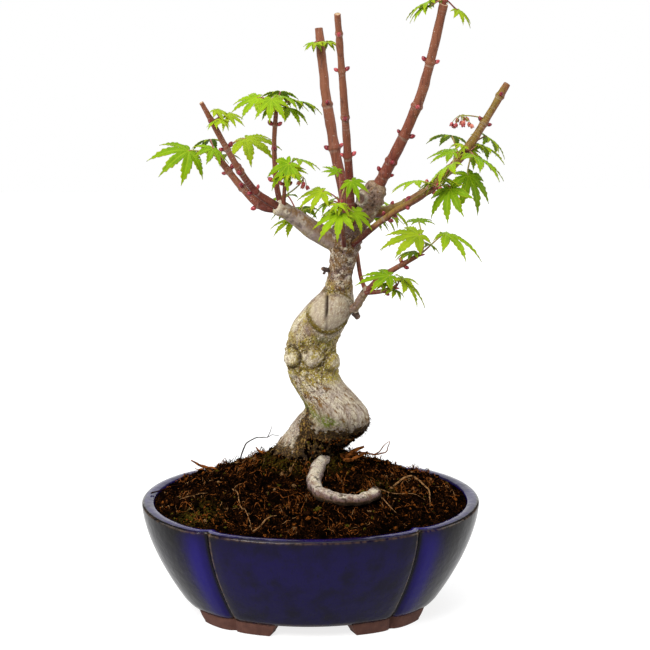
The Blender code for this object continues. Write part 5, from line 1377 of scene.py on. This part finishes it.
green_finishes = []
for number, colour in enumerate(LEAF_GREENS):
    green_leaf = Finish("leaf_green_%d" % number, colour, 0.48, 0.06)
    deeper = (colour[0] * 0.72, colour[1] * 0.78, colour[2] * 0.8, 1)
    blade = green_leaf.blend(green_leaf.patches(0.4, 0.62, 6.0, 3.0), colour, deeper)
    for mark, strength, mark_colour in (("margin", 0.55, EDGE_GREEN), ("vein", 0.7, VEIN_GREEN)):
        on_mark = green_leaf.sum_of("MULTIPLY", green_leaf.mark(mark), strength)
        blade = green_leaf.blend(on_mark, blade, mark_colour)
    green_leaf.colour(blade)
    green_finishes.append(green_leaf.material)
stalk_finishes = [mottled(name, colour, deep, 0.45, 0.5, 0.45, 0.65, 5.0, 2.0).material
                  for name, colour, deep in (("stalk_green", STALK_GREEN, STALK_RED),
                                             ("stalk_red", STALK_RED, SHOOT_RED))]

leaf_faces = np.concatenate([grid_faces(LOBE_ROWS, LOBE_COLUMNS, ring=False) + lobe * LOBE_ROWS * LOBE_COLUMNS
                             for lobe in range(7)])
leaf_draw = np.random.default_rng(14)
blades = {number: [] for number in range(len(LEAF_GREENS))}
stalk_paths, stalk_radii, twig_paths, twig_radii, scale_paths, scale_radii = [], [], [], [], [], []
share = np.linspace(0, 1, 14)[:, None]
for mass, (limb, place_share, reach, facing, shown_leaves, kept) in FOLIAGE.items():
    root, away, thick = stem_at(limb, place_share, facing)
    node = root + away * (STEM_LENGTH + 0.3)
    draw = random.Random(mass)
    drawn = [far_side_rule(node, reach, facing, draw) for _ in range(max(kept, default=-1) + 1)]
    rows = shown_leaves + [drawn[number] for number in kept]
    twig_paths.append(root - away * 0.6 + (node - root + away * 1.0) * np.linspace(0, 1, 10)[:, None])
    twig_radii.append(thick * np.array([1, 1, 0.98, 0.95, 0.92, 0.92, 1.0, 1.05, 0.8, 0.3]))
    for number, row in enumerate(rows):
        hub = node - away * (0.5 + 0.13 * number)
        place = np.array(row[:3], float)
        bend = place - STALK_BEND * leaf_axes(*row[3:6])[0]
        pull = hub + away * np.linalg.norm(bend - hub) * 0.35
        back = 1 - share
        path = (back ** 3 * hub + 3 * back ** 2 * share * pull + 3 * back * share ** 2 * bend
                + share ** 3 * place)
        stalk_paths.append(path)
        stalk_radii.append(0.40 + 0.22 * (1 - share[:, 0]) ** 4 + 0.10 * share[:, 0] ** 6)
        green_number = leaf_draw.choice(len(LEAF_GREENS), p=[0.36, 0.28, 0.20, 0.16])
        blades[green_number].append(leaf_blade(place, *row[3:], leaf_draw))
    for _ in range(YOUNG_LEAVES):
        heading = facing + leaf_draw.uniform(-150, 150)
        turn = np.radians(heading)
        spread = np.array([np.cos(turn), np.sin(turn), leaf_draw.uniform(-0.1, 0.9)])
        place = node + leaf_draw.uniform(*YOUNG_AWAY) * spread
        stalk_paths.append(node - away * 0.8 + (place - node + away * 0.8) * share)
        stalk_radii.append(0.30 - 0.06 * share[:, 0])
        angles = (heading, leaf_draw.uniform(-10, 25), leaf_draw.uniform(-25, 25))
        small_blades = blades[leaf_draw.choice([1, 3])]
        size_and_curl = (leaf_draw.uniform(*YOUNG_REACH), leaf_draw.uniform(0.2, 0.4))
        small_blades.append(leaf_blade(place, *angles, *size_and_curl, leaf_draw))
    for turned in (-1, 1):
        across = np.cross(away, (0.2, 0.9, 0.4))
        across /= np.linalg.norm(across)
        grown = np.linspace(0, 1, 7)[:, None]
        out = thick * 0.7 + 0.9 * grown ** 2
        scale_paths.append(node + away * (3.0 * grown - 0.8) + turned * across * out)
        scale_radii.append(0.55 * np.sin(np.pi * np.clip(grown[:, 0] * 0.9 + 0.1, 0, 1)) ** 0.7)
for number, sheets in blades.items():
    places, veins, margins = (np.concatenate(part) for part in zip(*sheets))
    per_leaf = 7 * LOBE_ROWS * LOBE_COLUMNS
    faces = (leaf_faces + per_leaf * np.arange(len(sheets))[:, None, None]).reshape(-1, 4)
    leaves = new_piece("leaves_%d" % number, places, faces, [green_finishes[number]],
                       {"vein": veins, "margin": margins})
    weld = leaves.modifiers.new("weld", "WELD")
    weld.merge_threshold = 0.05 * MM
    thick_blade = leaves.modifiers.new("thickness", "SOLIDIFY")
    thick_blade.thickness = BLADE_THICKNESS * MM
    thick_blade.offset = 0.0
    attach(leaves, "root")
    if number == 0:
        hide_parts(*FOLIAGE)
stalk_kinds = leaf_draw.choice(2, len(stalk_paths), p=[0.7, 0.3])
stalks = tube_piece("leaf_stalks", stalk_paths, stalk_radii, 8, stalk_finishes, stalk_kinds)
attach(stalks, "root")
twigs = tube_piece("growing_tips", twig_paths, twig_radii, 14, [shoot.material])
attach(twigs, "root")
scales = tube_piece("bud_scales", scale_paths, scale_radii, 8, [bud_finishes[1]])
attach(scales, "root")

# The flowers. Loose hanging heads of small red flowers, each a bell of five petals on a thread, that open
# with the leaves. A head has its carrier, how far along it stands, its middle, its half widths in x and y,
# and how many flowers it holds.
FLOWERS = {
    "blossom_right": ("bough_right", 0.8, (81, 38, 259), (6.0, 3.5), 11),
    "blossom_left": ("shoot_left_inner", 0.45, (-3.5, -7, 235), (2.4, 2.4), 4),
}
FLOWER_WIDTH = 1.9
HEAD_DROP = 2.5
BELL_LENGTH = 2.2
BELL_SIDES = 20
# The bell's radii from the stalk to the mouth, for a flower 2.6 mm wide.
BELL_SHAPE = (0.25, 0.75, 1.1, 1.28, 1.34, 1.30, 1.22, 1.28, 1.05)

petal_colours = {"petal_red": ((0.480, 0.085, 0.085, 1), (0.290, 0.030, 0.034, 1)),
                 "petal_rose": ((0.640, 0.230, 0.150, 1), (0.480, 0.090, 0.070, 1))}
petal_finishes = [mottled(name, colour, deep, 0.5, 0.5, 0.4, 0.6, 0.8, 2.0).material
                  for name, (colour, deep) in petal_colours.items()]
thread_paths, thread_radii, bell_paths = [], [], []
share = np.linspace(0, 1, 8)[:, None]
for name, (limb, place_share, head, half_widths, count) in FLOWERS.items():
    place, along, radius = point_along(limb, place_share)
    head = np.array(head, float)
    away = head - place
    away -= along * away.dot(along)
    away /= np.linalg.norm(away)
    draw = random.Random(name)
    start = place + away * radius * 0.8
    thread_paths.append(start + (head - start) * share + away * (1.2 * np.sin(np.pi * share)))
    thread_radii.append(np.full(8, 0.38))
    out_x, out_y = half_widths
    for k in range(count):
        turn = 2 * np.pi * k / count + draw.uniform(-0.3, 0.3)
        spread = draw.uniform(0.5, 1.05)
        below = HEAD_DROP + draw.uniform(-1.5, 3)
        spot = head + (spread * out_x * np.cos(turn), spread * out_y * np.sin(turn), -below)
        top = spot + (0, 0, 1.0)
        thread_paths.append(head + (top - head) * share + np.array((0, 0, 1.0)) * np.sin(np.pi * share))
        thread_radii.append(np.full(8, 0.20))
        outward = np.array([np.cos(turn), np.sin(turn), -2.2])
        outward /= np.linalg.norm(outward)
        bell_paths.append(top + outward * BELL_LENGTH * np.linspace(0, 1, len(BELL_SHAPE))[:, None])
bell_radius = np.array(BELL_SHAPE) * FLOWER_WIDTH / 2.6
bells, spokes, along = carried(bell_paths, np.tile(bell_radius, (len(bell_paths), 1)), BELL_SIDES)
# The five petals part towards the mouth of the bell.
petal_wave = np.cos(5 * np.linspace(0, 2 * np.pi, BELL_SIDES, endpoint=False))[:, None]
to_mouth = np.linspace(0, 1, 9)[:, None, None]
bells = bells + petal_wave * (0.16 * spokes + 0.35 * to_mouth ** 3 * along[:, :, None])
kinds = np.random.default_rng(15).choice(2, len(bell_paths))
bell_piece = new_piece("flower_bells", bells, tube_faces(len(bell_paths), 9, BELL_SIDES), petal_finishes,
                       faces_finish=np.repeat(kinds, 8 * BELL_SIDES + 2))
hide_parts(*FLOWERS)
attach(bell_piece, "root")
threads = tube_piece("flower_threads", thread_paths, thread_radii, 6, [stalk_finishes[0]])
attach(threads, "root")

# The camera stands where the photographer's did, a little above the crown and looking down on it.
camera_data = bpy.data.cameras.new("camera")
camera_data.sensor_width = 36.0
camera_data.lens = 152.4
CAMERA_AWAY = (-36.1, -1400.0, 514.0)
CAMERA_DOWN = 0.251
CAMERA_TURN = -1.79
camera = bpy.data.objects.new("camera", camera_data)
camera.location = (POT_MIDDLE + CAMERA_AWAY) * MM
camera.rotation_euler = (np.pi / 2 - CAMERA_DOWN, 0.0, np.radians(CAMERA_TURN))
bpy.context.scene.collection.objects.link(camera)
bpy.context.scene.camera = camera

# The floor is a sheet of white paper, and the light is plain and soft: one large lamp above and to the left,
# one above, and white cards behind and on both sides. The paper glows most as it is seen, less in reflections
# and least as light on the plant. The white room round it is bright as it is seen and dim as light. So both are
# white all over and don't wash out the plant.
GLOW_SEEN = 0.80
GLOW_MIRRORED = 0.50
GLOW_BOUNCED = 0.30
ROOM_LIGHT = 0.20
paper = Finish("white_paper", (0.30, 0.30, 0.30, 1), 1.0, 0.0)
paper.shader.inputs["Emission Color"].default_value = (1, 1, 1, 1)
ways = paper.nodes.new("ShaderNodeLightPath").outputs
seen = paper.sum_of("MULTIPLY", ways["Is Camera Ray"], GLOW_SEEN)
mirrored = paper.sum_of("MULTIPLY", ways["Is Glossy Ray"], GLOW_MIRRORED)
bounced = paper.sum_of("MULTIPLY", ways["Is Diffuse Ray"], GLOW_BOUNCED)
glow = paper.sum_of("MAXIMUM", seen, paper.sum_of("MAXIMUM", mirrored, bounced))
paper.plug(glow, paper.shader.inputs["Emission Strength"])
paper.relief(paper.noise(4.0, 2.0), 0.02)
corners = [(-1800, -1500, 0), (1800, -1500, 0), (1800, 1100, 0), (-1800, 1100, 0)]
floor = new_piece("floor", corners, [(0, 1, 2, 3)], [paper.material])


def soft_light(name, power, size, place, aim):
    """A square lamp of this power and size, placed and aimed in metres."""
    lamp = bpy.data.lights.new(name, "AREA")
    lamp.energy = power
    lamp.size = size
    holder = bpy.data.objects.new(name, lamp)
    bpy.context.scene.collection.objects.link(holder)
    holder.location = place
    span = np.array(aim, float) - np.array(place, float)
    tilt = np.arctan2(np.hypot(span[0], span[1]), -span[2])
    holder.rotation_euler = (tilt, 0.0, np.arctan2(-span[0], span[1]))


soft_light("lamp_key", 25.0, 0.8, (-0.60, -1.00, 1.10), (0, 0, 0.15))
soft_light("lamp_above", 13.0, 1.1, (0.1, 0.15, 1.45), (0, 0, 0.1))
soft_light("card_back", 12.0, 1.6, (0.0, 1.7, 0.45), (0, 0, 0.10))
soft_light("card_left", 6.0, 0.9, (-1.25, 0.1, 0.55), (0, 0, 0.10))
soft_light("card_right", 8.0, 0.9, (1.25, 0.05, 0.55), (0, 0, 0.10))

world = bpy.data.worlds.new("white_room")
bpy.context.scene.world = world
world.use_nodes = True
room = world.node_tree
ways = room.nodes.new("ShaderNodeLightPath").outputs
strength = room.nodes.new("ShaderNodeMapRange")
strength.inputs["To Min"].default_value = ROOM_LIGHT
strength.inputs["To Max"].default_value = 1.0
room.links.new(ways["Is Camera Ray"], strength.inputs["Value"])
room.links.new(strength.outputs["Result"], room.nodes["Background"].inputs["Strength"])
room.nodes["Background"].inputs["Color"].default_value = (1, 1, 1, 1)
bpy.context.scene.view_settings.view_transform = "Standard"
